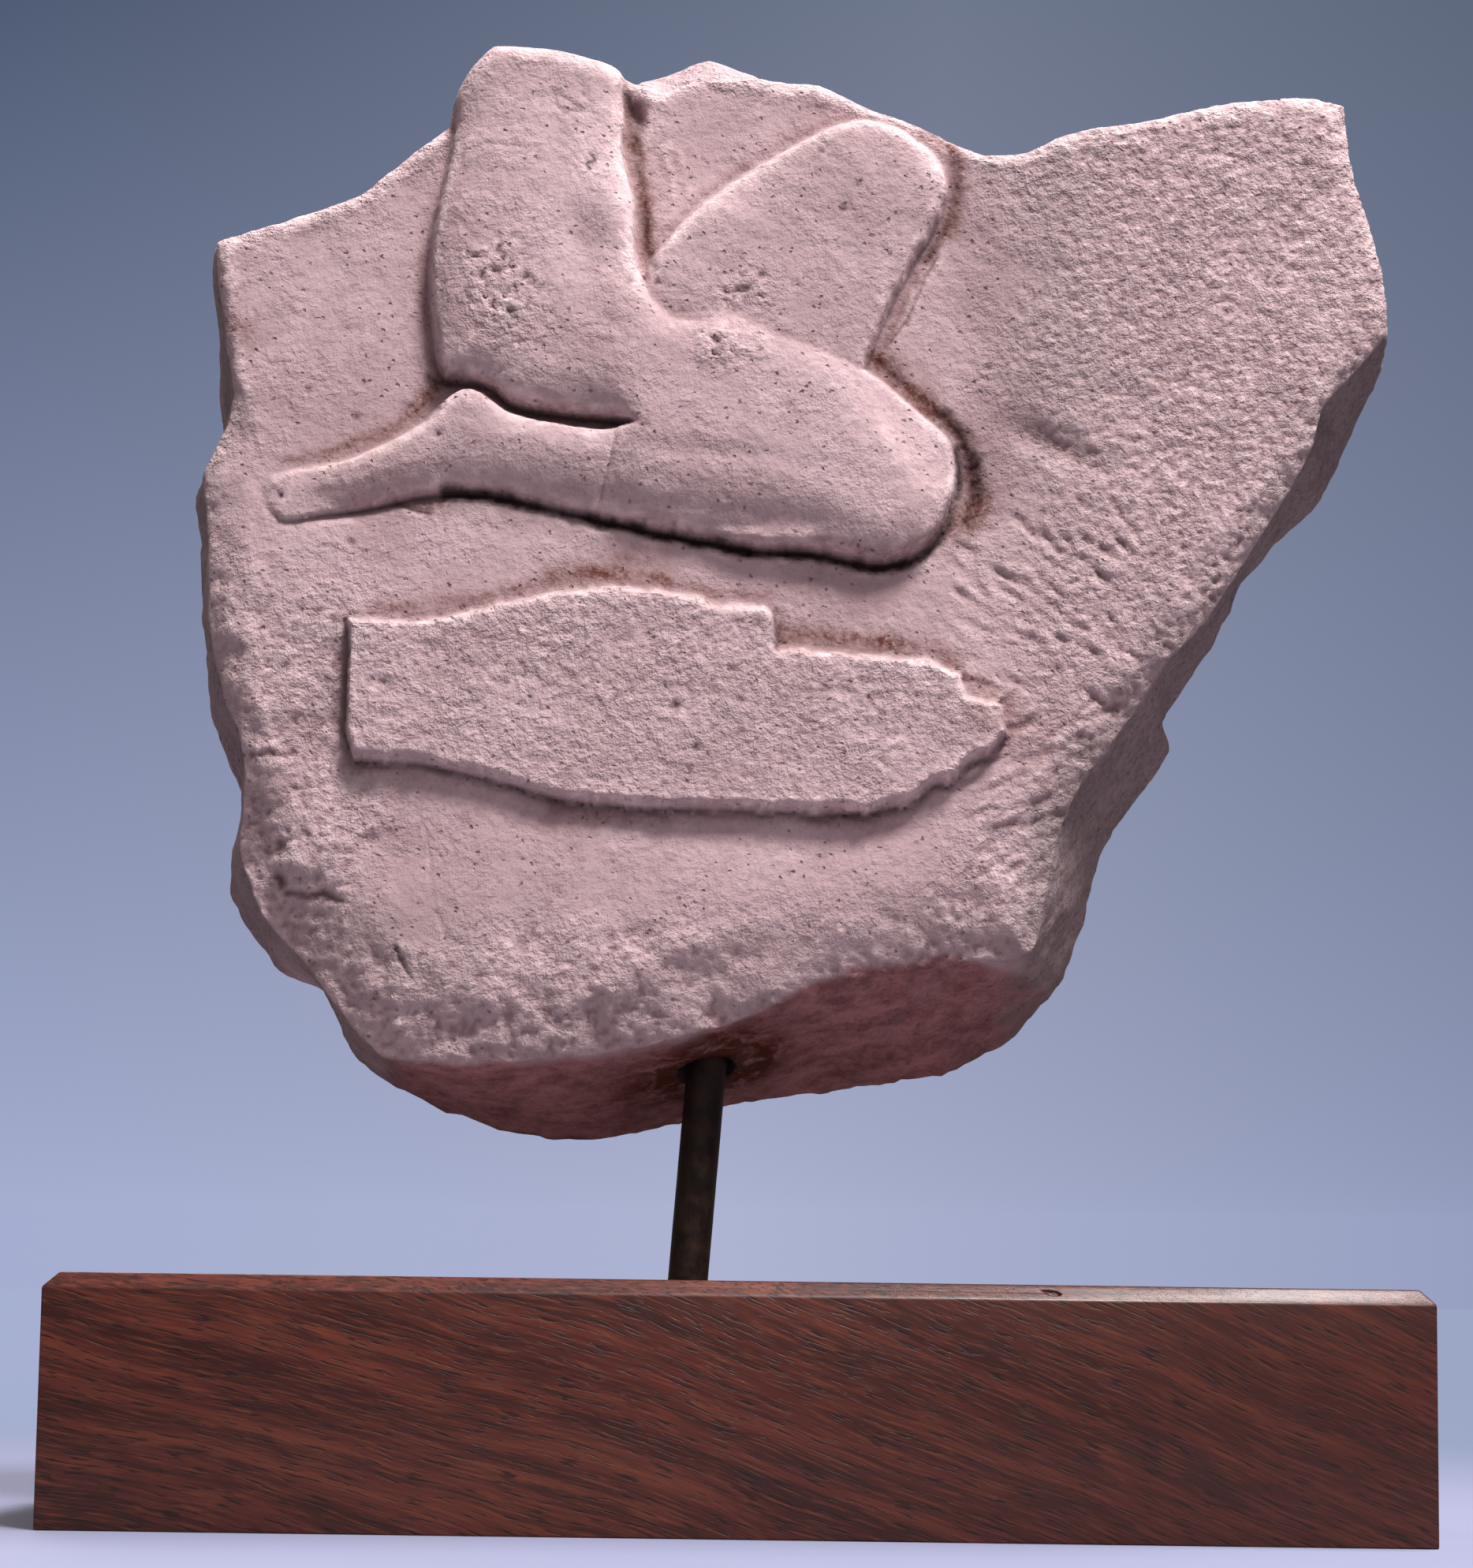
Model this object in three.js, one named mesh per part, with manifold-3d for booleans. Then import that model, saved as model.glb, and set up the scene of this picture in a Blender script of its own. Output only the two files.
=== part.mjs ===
// A broken piece of limestone relief, the kneeling lower half of a figure over a roughed-out
// shape, standing on a leaning metal rod in a rectangular wooden block.
// Units are millimetres. X runs to the right, Y to the back and Z up. The origin is the centre
// of the block's underside. The carved face looks along -Y.

import * as THREE from 'three';
import { mergeVertices } from 'three/addons/utils/BufferGeometryUtils.js';
import { ConvexGeometry } from 'three/addons/geometries/ConvexGeometry.js';
import Module from 'manifold-3d';

// ---- driving dimensions -------------------------------------------------------------------

const GAP = 0.3; // clearance between pieces that touch

const BASE = { width: 208, depth: 70, height: 38, chamfer: 2.2 };

const ROD = {
  diameter: 6.35,
  leanDegrees: 4.2, // to the right, going up
  xAtBaseTop: -8.1,
  depthInBase: 25,
  topHeight: 106, // height of its upper end, inside the stone
  sides: 24,
};

const MOUTH = { radius: 4.8, height: 71.5, depth: 3 }; // chipped mouth of the stone's rod hole

const FACE_Y = -20; // plane of the cut-back background
const BACK_Y = 25; // rough split back
const WIDE_SHRINK = 0.93; // back rim against the widest rim
const FRONT_LIMIT_Y = -36; // in front of the highest carving
const STONE_CENTRE = { x: 2, z: 148 };

const BACKGROUND_CELL = 4.3; // spacing of the points on the background
const LIMB_CELL = 2.4; // and on the limbs

// Front rim of the broken slab, clockwise from the top left corner, as [x, z].
const FRONT_RIM = [
  [-85.2, 200.4], [-76, 203.4], [-63, 208], [-57, 213.1], [-48.8, 220.2], [-48, 224],
  [-45.5, 227.6], [-41.5, 231.6], [-33, 231.2], [-22.5, 229.2], [-18, 226.8], [-14.5, 226],
  [-8.6, 229], [0, 228.8], [10, 227.4], [17.5, 224.2], [27, 220.4], [36.8, 216.2],
  [43.5, 216.9], [49.5, 219.8], [64, 222.4], [75, 225], [89.5, 225.8], [93.6, 224.6],
  [94.4, 216.5], [97, 207], [99.8, 198], [100.3, 188], [95.6, 182], [90.5, 176],
  [88.3, 169], [84.4, 161.6], [79, 152.5], [72, 142.2], [65, 134], [60, 127.5], [57, 122.5],
  [49.5, 110.6], [46.5, 98], [44.5, 89.5], [34, 88], [20, 85.5], [5, 80.5], [-11.5, 75],
  [-30, 72], [-46, 70.5], [-56, 72], [-62, 78], [-68, 86], [-75, 94], [-78.5, 104],
  [-78.5, 118], [-82, 128], [-84.8, 140], [-85.4, 153], [-86.2, 164], [-82.8, 171],
  [-81.8, 176], [-83.8, 187],
];

// The widest rim behind it, one [x, y, z] for each point of the front rim.
const WIDE_RIM = [
  [-88, 2, 204.5], [-77, 4, 206], [-64, 6, 210], [-58, 6, 215], [-50, 8, 221.5], [-48.6, 8, 225],
  [-45.6, 8, 229], [-41, 6, 233], [-33, 6, 232.6], [-22.5, 4, 231], [-18.5, -10, 230.8],
  [-13.5, -12, 231.6], [-7.5, -12, 233.8], [0.5, -11, 231.6], [10.5, -4, 229.8], [18, 4, 226],
  [27.5, 6, 221], [37.5, 6, 216], [44, 6, 217.4], [50, 6, 220], [64.5, 6, 223], [75.5, 6, 226],
  [90.5, 4, 226.6], [94.8, 2, 225], [97.2, 2, 217], [99.4, 2, 207.5], [102.6, 2, 198.5],
  [103.8, 4, 188], [101.8, 8, 182.5], [98.2, 8, 175], [94.6, 10, 166.5], [87.2, 10, 159.8],
  [80, 10, 150.6], [74.4, 10, 139.5], [68.8, 10, 129.4], [69.8, 10, 125], [66, 10, 119],
  [58.2, 10, 106], [55.4, 12, 96.5], [52, 14, 87], [45, 18, 77.9], [29.6, 18, 70.7],
  [14, 20, 68.6], [-3, 20, 65.4], [-20.8, 20, 60.4], [-37, 20, 61.2], [-51.5, 18, 66],
  [-62.8, 16, 72.3], [-67, 14, 82], [-76.2, 10, 87.4], [-83, 4, 98], [-81.6, 2, 113],
  [-86.6, 2, 126.5], [-88.6, 2, 141], [-88.8, 2, 152], [-89.9, 2, 163], [-87.2, 4, 170.5],
  [-87.4, 6, 177], [-88, 4, 190],
];

// Carved forms, as closed outlines of [x, z] at the foot of each form.
// Thigh and lower leg overlap at the knee and meet in a fold behind it.
const NEAR_THIGH = [
  [-47.5, 238], [-24, 238], [-20.3, 222], [-20.5, 215.5], [-18.6, 207], [-17.8, 197],
  [-13.2, 190], [-9, 188.8], [-4.5, 190.3], [4, 187], [15, 182.4], [20.7, 179], [26.3, 174.3],
  [31.2, 170], [32.8, 165.6], [31.6, 159], [28.3, 153.2], [21, 150.4], [10, 153.4], [0, 155],
  [-7, 160], [-13, 167.5], [-19, 171.3], [-31, 172.7], [-37.5, 174], [-42, 177.2],
  [-48.5, 178.4], [-50.6, 186], [-51.5, 194], [-51.2, 202], [-49.7, 210], [-48.3, 220],
];
const LOWER_LEG = [
  [-76.4, 161.6], [-72, 163.5], [-64, 165.2], [-56.8, 168.3], [-51.6, 171.5], [-48.4, 175],
  [-44.3, 176.8], [-40.6, 175], [-37, 172.9], [-19, 170.9], [-12, 175], [-4, 181], [8, 180],
  [19, 174.5], [28, 167], [31.2, 158.4], [28.3, 152.9], [21, 149.7], [12.3, 151.3], [0, 152.1],
  [-12.4, 154.1], [-24.7, 156.6], [-37, 159.4], [-44, 160.1], [-52, 159.3], [-60.5, 157.3],
  [-67, 156.4], [-73.8, 155.6],
];
const FAR_LEG = [
  [-17.7, 195.6], [-14.6, 200.6], [-10.1, 206], [-2.7, 212], [4, 216.2], [11.6, 220],
  [17, 221.5], [23, 220.2], [28, 216.7], [30.7, 212], [29.8, 206], [24.9, 197], [20.9, 188.8],
  [16, 178], [5, 172], [-12, 176],
];
const ROUGHED_SHAPE = [
  [-62.4, 140.3], [-55, 139.7], [-49, 140], [-41, 142], [-31, 144.6], [-20.5, 145.6],
  [-12.2, 145], [-3.6, 142.8], [2.7, 142.8], [4.5, 141.2], [4.5, 136.2], [17, 135.4],
  [29, 134.6], [33.3, 132], [39, 126.8], [39.5, 121], [36, 118.3], [33, 114.4], [27, 111],
  [14, 110.2], [-16, 110.6], [-28, 111.5], [-39.6, 114.7], [-51, 117.1], [-61, 117.4],
  [-62.5, 121.7],
];

// The background field: how far it rises at the right, turns out again below the blocked-out
// shape, and sinks in the pocket between the body and the far leg.
const FIELD = {
  rightRise: 1.6,
  lowerTurn: 1.5,
  browHeight: 103,
  browHalfWidth: 6,
  pocketDepth: 1.2,
  pocketX: -4,
  leftLumps: 1.6,
  unevenness: 0.35,
};

// The worn lower edge and the fresher upper edge: how wide and how deep each one rolls back.
const UPPER_EDGE = { width: 2, fall: 1.4 };
const LOWER_EDGE = { width: 14, fall: 9 };
const EDGE_CHANGE = { from: 128, to: 98 }; // heights between which one turns into the other

// Shallow dips and swellings, each an oval centred at x, z.
const DIP_BESIDE_KNEE = { x: 36, z: 164, rx: 7, rz: 12, height: -1.1 };
const DIP_BESIDE_SHIN = { x: 31, z: 196, rx: 6, rz: 16, height: -0.8 };
const DIP_UNDER_LEG = { x: -5, z: 149, rx: 40, rz: 4, height: -0.9 };
const GROIN = { x: -25, z: 198, rx: 3.5, rz: 5, height: -0.9 };
const FAR_KNEE = { x: 19, z: 211, rx: 9, rz: 9, height: 0.8 };

// How each limb stands off the background: the height of the upright wall at its outline, the
// further rise to its crest, the widths of its rounded edge and of its crown, and the share of
// the rise that the edge takes.
const THIGH_FORM = { wall: 1.8, rise: 4.9, edge: 4.5, crown: 17, share: 0.6 };
const LOWER_LEG_FORM = { wall: 1.9, rise: 3.3, edge: 5, crown: 10, share: 0.75 };
const FAR_LEG_FORM = { wall: 1.2, rise: 3.3, edge: 6, crown: 18, share: 0.6 };
const ROUGHED_FORM = { rise: 3.4, wall: 2.1 };
const WAIST = { fall: 1.5, from: 200, to: 226 }; // the body falls back towards the waist
const FOLD = { from: -20, to: -6, softness: 2.5 }; // where the fold behind the knee dies out
const TOE_X = -76;
const ANKLE_X = -44;
const TOE_SHARE = 0.45; // height of the toes against the ankle
const ROOT_DEPTH = 7; // how far each form's solid reaches behind the background

// ---- small helpers ------------------------------------------------------------------------

const clamp = (value, low = 0, high = 1) => Math.min(high, Math.max(low, value));
const mix = (a, b, t) => a + (b - a) * t;
const smooth = (low, high, value) => {
  const t = clamp((value - low) / (high - low));
  return t * t * (3 - 2 * t);
};
const arc = (t) => Math.sqrt(1 - (1 - clamp(t)) ** 2);
const softMax = (a, b, k) => {
  const t = clamp(0.5 + (0.5 * (a - b)) / k);
  return mix(b, a, t) + k * t * (1 - t);
};
const hill = (x, z, oval) =>
  oval.height * Math.exp(-(((x - oval.x) / oval.rx) ** 2) - ((z - oval.z) / oval.rz) ** 2);

/** Slow, repeatable unevenness between -1 and 1. */
function lumps(a, b, wave) {
  const k = (2 * Math.PI) / wave;
  return (
    (Math.sin(k * a + 1.3) * Math.cos(0.83 * k * b + 0.4) +
      Math.sin(0.57 * k * (a + b) + 2.1) +
      Math.cos(1.31 * k * (a - 0.7 * b) + 0.9)) / 3
  );
}

/** A closed outline that knows how deep inside it a point lies. */
class Outline {
  constructor(points, rounded = true) {
    const corners = points.map(([x, z]) => new THREE.Vector3(x, z, 0));
    this.path = rounded
      ? new THREE.CatmullRomCurve3(corners, true, 'centripetal').getPoints(points.length * 3)
      : [...corners, corners[0]];
  }

  depthAt(x, z) {
    let distance = Infinity;
    let inside = false;
    for (let i = 0; i + 1 < this.path.length; i += 1) {
      const a = this.path[i];
      const b = this.path[i + 1];
      const [dx, dz] = [b.x - a.x, b.y - a.y];
      const t = clamp(((x - a.x) * dx + (z - a.y) * dz) / (dx * dx + dz * dz || 1));
      distance = Math.min(distance, Math.hypot(x - a.x - t * dx, z - a.y - t * dz));
      if (a.y > z !== b.y > z && x < a.x + ((z - a.y) / dz) * dx) inside = !inside;
    }
    return inside ? distance : -distance;
  }

  get bounds() {
    return new THREE.Box3().setFromPoints(this.path);
  }

  /** A straight-sided solid of this outline between two planes of Y. */
  prism(frontY, backY, bevel) {
    const shape = new THREE.Shape(this.path.slice(0, -1).map(({ x, y }) => new THREE.Vector2(x, y)));
    const geometry = new THREE.ExtrudeGeometry(shape, { depth: backY - frontY, ...bevel });
    return geometry.rotateX(Math.PI / 2).translate(0, backY, 0);
  }
}

const rim = new Outline(FRONT_RIM, false);
const thigh = new Outline(NEAR_THIGH);
const lowerLeg = new Outline(LOWER_LEG);
const farLeg = new Outline(FAR_LEG);
const roughed = new Outline(ROUGHED_SHAPE, false);

// ---- the carved face ----------------------------------------------------------------------

/** The background: cut back round the figure, full at the right, rolled under at the foot. */
function backgroundHeight(x, z) {
  const rightField = FIELD.rightRise * smooth(30, 85, x) * smooth(120, 190, z);
  const brow = FIELD.browHeight + 3 * lumps(x, z, 60);
  const turn = smooth(brow + FIELD.browHalfWidth, brow - FIELD.browHalfWidth, z);
  const lowerBand = FIELD.lowerTurn * turn * smooth(-78, -50, x);
  const pocket =
    -FIELD.pocketDepth * smooth(16, 4, Math.abs(x - FIELD.pocketX)) * smooth(203, 214, z);
  const lowerLeft = FIELD.leftLumps * smooth(-45, -80, x) * smooth(150, 110, z) * lumps(x, z, 26);
  const uneven = FIELD.unevenness * lumps(x, z, 47);
  const dips = hill(x, z, DIP_BESIDE_KNEE) + hill(x, z, DIP_BESIDE_SHIN) + hill(x, z, DIP_UNDER_LEG);
  return rightField + lowerBand + pocket + lowerLeft + uneven + dips + edgeFall(x, z);
}

/** How far the background falls back towards the broken rim. */
function edgeFall(x, z) {
  const low = smooth(EDGE_CHANGE.from, EDGE_CHANGE.to, z);
  const width = mix(UPPER_EDGE.width, LOWER_EDGE.width, low) + 4 * low * lumps(x, z, 38);
  const depth = Math.max(rim.depthAt(x, z), -1);
  return -mix(UPPER_EDGE.fall, LOWER_EDGE.fall, low) * (1 - arc((depth + 1) / (width + 1)));
}

/** Height of a limb above the background, a given depth inside its outline. */
function limbHeight(depth, { wall, rise, edge, crown, share }) {
  return wall + rise * (share * arc(depth / edge) + (1 - share) * arc(depth / crown));
}

/** Thigh and lower leg: one rounded form at the knee, two forms with a fold between behind it. */
function nearLegHeight(x, z) {
  const waist = -WAIST.fall * smooth(WAIST.from, WAIST.to, z);
  const thighHeight = limbHeight(thigh.depthAt(x, z), THIGH_FORM) + waist + hill(x, z, GROIN);
  const taper = mix(TOE_SHARE, 1, smooth(TOE_X, ANKLE_X, x));
  const legHeight = limbHeight(lowerLeg.depthAt(x, z), LOWER_LEG_FORM) * taper;
  const softness = mix(0.05, FOLD.softness, smooth(FOLD.from, FOLD.to, x));
  return softMax(thighHeight, legHeight, softness);
}

const farLegHeight = (x, z) => limbHeight(farLeg.depthAt(x, z), FAR_LEG_FORM) + hill(x, z, FAR_KNEE);

/** A closed block between a height field and a plane behind it, over a box of X and Z. */
function fieldBlock({ min, max }, cell, heightAt, backY) {
  const columns = Math.ceil((max.x - min.x) / cell);
  const rows = Math.ceil((max.y - min.y) / cell);
  const positions = [];
  for (let j = 0; j <= rows; j += 1) {
    for (let i = 0; i <= columns; i += 1) {
      const [x, z] = [min.x + i * cell, min.y + j * cell];
      positions.push([x, FACE_Y - heightAt(x, z), z]);
    }
  }
  const index = (i, j) => j * (columns + 1) + i;
  const triangles = [];
  for (let j = 0; j < rows; j += 1) {
    for (let i = 0; i < columns; i += 1) {
      const [a, b, c, d] = [index(i, j), index(i + 1, j), index(i + 1, j + 1), index(i, j + 1)];
      const fallAC = Math.abs(positions[a][1] - positions[c][1]);
      const fallBD = Math.abs(positions[b][1] - positions[d][1]);
      if (fallAC < fallBD) triangles.push([a, b, c], [a, c, d]);
      else triangles.push([a, b, d], [b, c, d]);
    }
  }
  const border = [];
  for (let i = 0; i < columns; i += 1) border.push(index(i, 0));
  for (let j = 0; j < rows; j += 1) border.push(index(columns, j));
  for (let i = columns; i > 0; i -= 1) border.push(index(i, rows));
  for (let j = rows; j > 0; j -= 1) border.push(index(0, j));
  const backStart = positions.length;
  for (const point of border) positions.push([positions[point][0], backY, positions[point][2]]);
  const centre = positions.length;
  positions.push([(min.x + max.x) / 2, backY, (min.y + max.y) / 2]);
  border.forEach((point, k) => {
    const next = (k + 1) % border.length;
    triangles.push([point, backStart + k, backStart + next], [point, backStart + next, border[next]]);
    triangles.push([backStart + k, centre, backStart + next]);
  });
  return geometryFrom(positions, triangles);
}

/** Limbs that share one height field, cut to their outlines. */
function limbs(outlines, heightAt) {
  const backY = FACE_Y + ROOT_DEPTH;
  const bounds = outlines.reduce((box, outline) => box.union(outline.bounds), new THREE.Box3());
  const field = fieldBlock(
    bounds.expandByScalar(LIMB_CELL),
    LIMB_CELL,
    (x, z) => backgroundHeight(x, z) + heightAt(x, z),
    backY + 1,
  );
  const prisms = outlines.map((outline) => solid(outline.prism(FRONT_LIMIT_Y, backY)));
  return prisms.reduce((a, b) => a.add(b)).intersect(solid(field));
}

/** The flat-topped shape that was only blocked out: a plate with sloping sides. */
function roughedShape() {
  const bevel = {
    bevelThickness: ROUGHED_FORM.rise,
    bevelSize: ROUGHED_FORM.wall,
    bevelOffset: -ROUGHED_FORM.wall,
    bevelSegments: 1,
  };
  return solid(roughed.prism(FACE_Y, FACE_Y + 1, bevel));
}

/** The block behind the whole carved face, limbs and blocked-out shape included. */
function carvedBlock() {
  const field = fieldBlock(rim.bounds.expandByScalar(8), BACKGROUND_CELL, backgroundHeight, BACK_Y + 20);
  return [
    limbs([thigh, lowerLeg], nearLegHeight),
    limbs([farLeg], farLegHeight),
    roughedShape(),
  ].reduce((block, form) => block.add(form), solid(field));
}

// ---- the slab -----------------------------------------------------------------------------

/** A rim with each stretch halved and its middle pushed in or out, as stone breaks. */
function ragged(rim, amount) {
  const points = [];
  rim.forEach((point, k) => {
    const next = rim[(k + 1) % rim.length];
    const middle = point.map((value, axis) => (value + next[axis]) / 2);
    const push = amount * lumps(middle[0] * 3, middle[2] * 3, 31);
    const outward = new THREE.Vector2(middle[0] - STONE_CENTRE.x, middle[2] - STONE_CENTRE.z).normalize();
    points.push(point, [middle[0] + outward.x * push, middle[1], middle[2] + outward.y * push]);
  });
  return points;
}

const scaled = (ring, share, y) =>
  ring.map(([x, , z]) => [
    mix(STONE_CENTRE.x, x, share),
    typeof y === 'function' ? y(x, z) : y,
    mix(STONE_CENTRE.z, z, share),
  ]);

const between = (ringA, ringB, t, bulge) =>
  ringA.map((point, k) => {
    const outward = new THREE.Vector2(point[0] - STONE_CENTRE.x, point[2] - STONE_CENTRE.z).normalize();
    const push = bulge * (1 + lumps(point[0] * 2, point[2] * 2, 37));
    return [
      mix(point[0], ringB[k][0], t) + outward.x * push,
      mix(point[1], ringB[k][1], t),
      mix(point[2], ringB[k][2], t) + outward.y * push,
    ];
  });

/** The slab without its carving: a skin of rings from front to back. */
function slab() {
  const front = ragged(FRONT_RIM.map(([x, z]) => [x, FACE_Y + 3, z]), 0.5);
  const wide = ragged(WIDE_RIM, 0.7);
  const rings = [
    scaled(front, 1, FRONT_LIMIT_Y),
    front,
    between(front, wide, 0.35, 0.25),
    between(front, wide, 0.7, 0.3),
    wide,
    scaled(wide, 0.985, (x, z) => BACK_Y - 5 + lumps(x, z, 40)),
    scaled(wide, WIDE_SHRINK, (x, z) => BACK_Y - 1 + lumps(x, z, 40)),
    scaled(wide, 0.62, (x, z) => BACK_Y + 0.6 + 1.2 * lumps(x, z, 45)),
    scaled(wide, 0.3, (x, z) => BACK_Y + 1 + 1.2 * lumps(x, z, 50)),
  ];
  const count = front.length;
  const positions = rings.flat();
  const triangles = [];
  for (let ring = 0; ring + 1 < rings.length; ring += 1) {
    for (let k = 0; k < count; k += 1) {
      const next = (k + 1) % count;
      const [a, b] = [ring * count + k, ring * count + next];
      triangles.push([a, b, a + count], [b, b + count, a + count]);
    }
  }
  const caps = [[FRONT_LIMIT_Y, 0], [BACK_Y + 1.2, (rings.length - 1) * count]];
  caps.forEach(([y, start], side) => {
    const centre = positions.length;
    positions.push([STONE_CENTRE.x, y, STONE_CENTRE.z]);
    for (let k = 0; k < count; k += 1) {
      const edge = [start + k, start + ((k + 1) % count)];
      triangles.push(side === 0 ? [edge[1], edge[0], centre] : [edge[0], edge[1], centre]);
    }
  });
  return geometryFrom(positions, triangles);
}

// ---- solids -------------------------------------------------------------------------------

const wasm = await Module();
wasm.setup();

function geometryFrom(positions, triangles) {
  const geometry = new THREE.BufferGeometry();
  geometry.setAttribute('position', new THREE.Float32BufferAttribute(positions.flat(), 3));
  geometry.setIndex(triangles.flat());
  return geometry;
}

function solid(geometry) {
  const bare = geometry.clone();
  bare.deleteAttribute('normal');
  bare.deleteAttribute('uv');
  const merged = mergeVertices(bare, 1e-4);
  return new wasm.Manifold(
    new wasm.Mesh({
      numProp: 3,
      vertProperties: new Float32Array(merged.attributes.position.array),
      triVerts: new Uint32Array(merged.index.array),
    }),
  );
}

function geometryOf(manifold) {
  const { vertProperties, triVerts, numProp } = manifold.getMesh();
  const positions = [];
  for (let i = 0; i < vertProperties.length; i += numProp) {
    positions.push([vertProperties[i], vertProperties[i + 1], vertProperties[i + 2]]);
  }
  const geometry = geometryFrom(positions, [Array.from(triVerts)]);
  geometry.computeVertexNormals();
  return geometry;
}

/** A turned shape on the rod's axis, from [radius, distance along the axis] pairs. */
function onRodAxis(profile) {
  const geometry = new THREE.LatheGeometry(
    profile.map(([radius, along]) => new THREE.Vector2(radius, along)),
    ROD.sides,
  );
  geometry.rotateX(Math.PI / 2);
  geometry.rotateY(THREE.MathUtils.degToRad(ROD.leanDegrees));
  geometry.translate(ROD.xAtBaseTop, 0, BASE.height);
  return geometry;
}

const lean = Math.cos(THREE.MathUtils.degToRad(ROD.leanDegrees));
const rodTop = (ROD.topHeight - BASE.height) / lean;
const mouthAt = (MOUTH.height - BASE.height) / lean;
const rodRadius = ROD.diameter / 2;
const holeRadius = rodRadius + GAP;

/** The carved stone, with the hole that takes the rod. */
function stoneRelief() {
  const hole = onRodAxis([
    [0, mouthAt - 20],
    [MOUTH.radius, mouthAt - 20],
    [MOUTH.radius, mouthAt],
    [holeRadius, mouthAt + MOUTH.depth],
    [holeRadius, rodTop + GAP],
    [0, rodTop + GAP],
  ]);
  return geometryOf(solid(slab()).intersect(carvedBlock()).subtract(solid(hole)));
}

/** The straight round rod, eased at both ends. */
function mountRod() {
  const ease = 0.5;
  return onRodAxis([
    [0, -ROD.depthInBase],
    [rodRadius - ease, -ROD.depthInBase],
    [rodRadius, -ROD.depthInBase + ease],
    [rodRadius, rodTop - ease],
    [rodRadius - ease, rodTop],
    [0, rodTop],
  ]);
}

/** The wooden block: chamfered along its four top edges and bored for the rod. */
function woodenBase() {
  const corners = [];
  const levels = [[0, 0], [BASE.height - BASE.chamfer, 0], [BASE.height, BASE.chamfer]];
  for (const [height, inset] of levels) {
    for (const [sx, sy] of [[-1, -1], [1, -1], [1, 1], [-1, 1]]) {
      corners.push(
        new THREE.Vector3(sx * (BASE.width / 2 - inset), sy * (BASE.depth / 2 - inset), height),
      );
    }
  }
  const bore = onRodAxis([
    [0, -ROD.depthInBase - GAP],
    [holeRadius, -ROD.depthInBase - GAP],
    [holeRadius, 10],
    [0, 10],
  ]);
  return geometryOf(solid(new ConvexGeometry(corners)).subtract(solid(bore)));
}

// ---- the assembled object -----------------------------------------------------------------

function piece(name, geometry, color, roughness, metalness) {
  const mesh = new THREE.Mesh(geometry, new THREE.MeshStandardMaterial({ color, roughness, metalness }));
  mesh.name = name;
  return mesh;
}

const object = new THREE.Group();
object.add(
  piece('stone_relief', stoneRelief(), '#c8afaf', 0.92, 0),
  piece('mount_rod', mountRod(), '#231c1c', 0.45, 0.8),
  piece('wooden_base', woodenBase(), '#4e2e28', 0.5, 0),
);

export default object;
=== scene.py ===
"""The looks of a broken limestone relief on its rod and wooden block.

The carved stone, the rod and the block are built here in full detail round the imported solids,
which carry the same main forms. Lengths are millimetres in the row frame until a mesh is made:
X to the right, Y to the back, Z up, with the origin under the middle of the block.
"""

import logging
import math
from dataclasses import dataclass, field
from enum import Enum

import bmesh
import bpy
import numpy as np
from mathutils import Matrix, Vector
from mathutils.geometry import delaunay_2d_cdt


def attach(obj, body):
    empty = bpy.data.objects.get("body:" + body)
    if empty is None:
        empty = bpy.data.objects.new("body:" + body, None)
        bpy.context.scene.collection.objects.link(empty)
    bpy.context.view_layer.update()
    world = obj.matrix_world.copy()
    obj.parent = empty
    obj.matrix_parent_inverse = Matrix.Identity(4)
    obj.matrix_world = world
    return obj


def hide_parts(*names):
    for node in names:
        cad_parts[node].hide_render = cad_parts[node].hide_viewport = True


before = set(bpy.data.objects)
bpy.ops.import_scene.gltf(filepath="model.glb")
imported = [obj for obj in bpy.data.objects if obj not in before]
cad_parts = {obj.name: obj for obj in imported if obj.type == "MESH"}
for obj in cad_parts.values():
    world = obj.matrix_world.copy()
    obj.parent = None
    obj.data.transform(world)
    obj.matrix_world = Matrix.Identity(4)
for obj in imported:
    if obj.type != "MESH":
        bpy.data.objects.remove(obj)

LOG = logging.getLogger("relief")
MM = 0.001
Points = list[tuple[float, ...]]


# ---- small sums ---------------------------------------------------------------------------


def smooth(low: float, high: float, value: np.ndarray) -> np.ndarray:
    """An eased step from 0 at low to 1 at high, which may be the smaller of the two."""
    t = np.clip((value - low) / (high - low), 0.0, 1.0)
    return t * t * (3 - 2 * t)


def arc(t: np.ndarray) -> np.ndarray:
    """A quarter circle from 0 to 1: steep at first, level at the end."""
    return np.sqrt(np.clip(1 - (1 - np.clip(t, 0.0, 1.0)) ** 2, 0.0, 1.0))


def mix(a: np.ndarray, b: np.ndarray, t: np.ndarray) -> np.ndarray:
    """The value a share t of the way from a to b."""
    return a + (b - a) * t


def soft_max(a: np.ndarray, b: np.ndarray, k: np.ndarray) -> np.ndarray:
    """The larger of two heights, with the crease between them eased over k."""
    t = np.clip(0.5 + 0.5 * (a - b) / k, 0.0, 1.0)
    return mix(b, a, t) + k * t * (1 - t)


def lumps(a: np.ndarray, b: np.ndarray, wave: float) -> np.ndarray:
    """Slow, repeatable unevenness between -1 and 1, the same as in the solids."""
    k = 2 * math.pi / wave
    return (
        np.sin(k * a + 1.3) * np.cos(0.83 * k * b + 0.4)
        + np.sin(0.57 * k * (a + b) + 2.1)
        + np.cos(1.31 * k * (a - 0.7 * b) + 0.9)
    ) / 3


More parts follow.
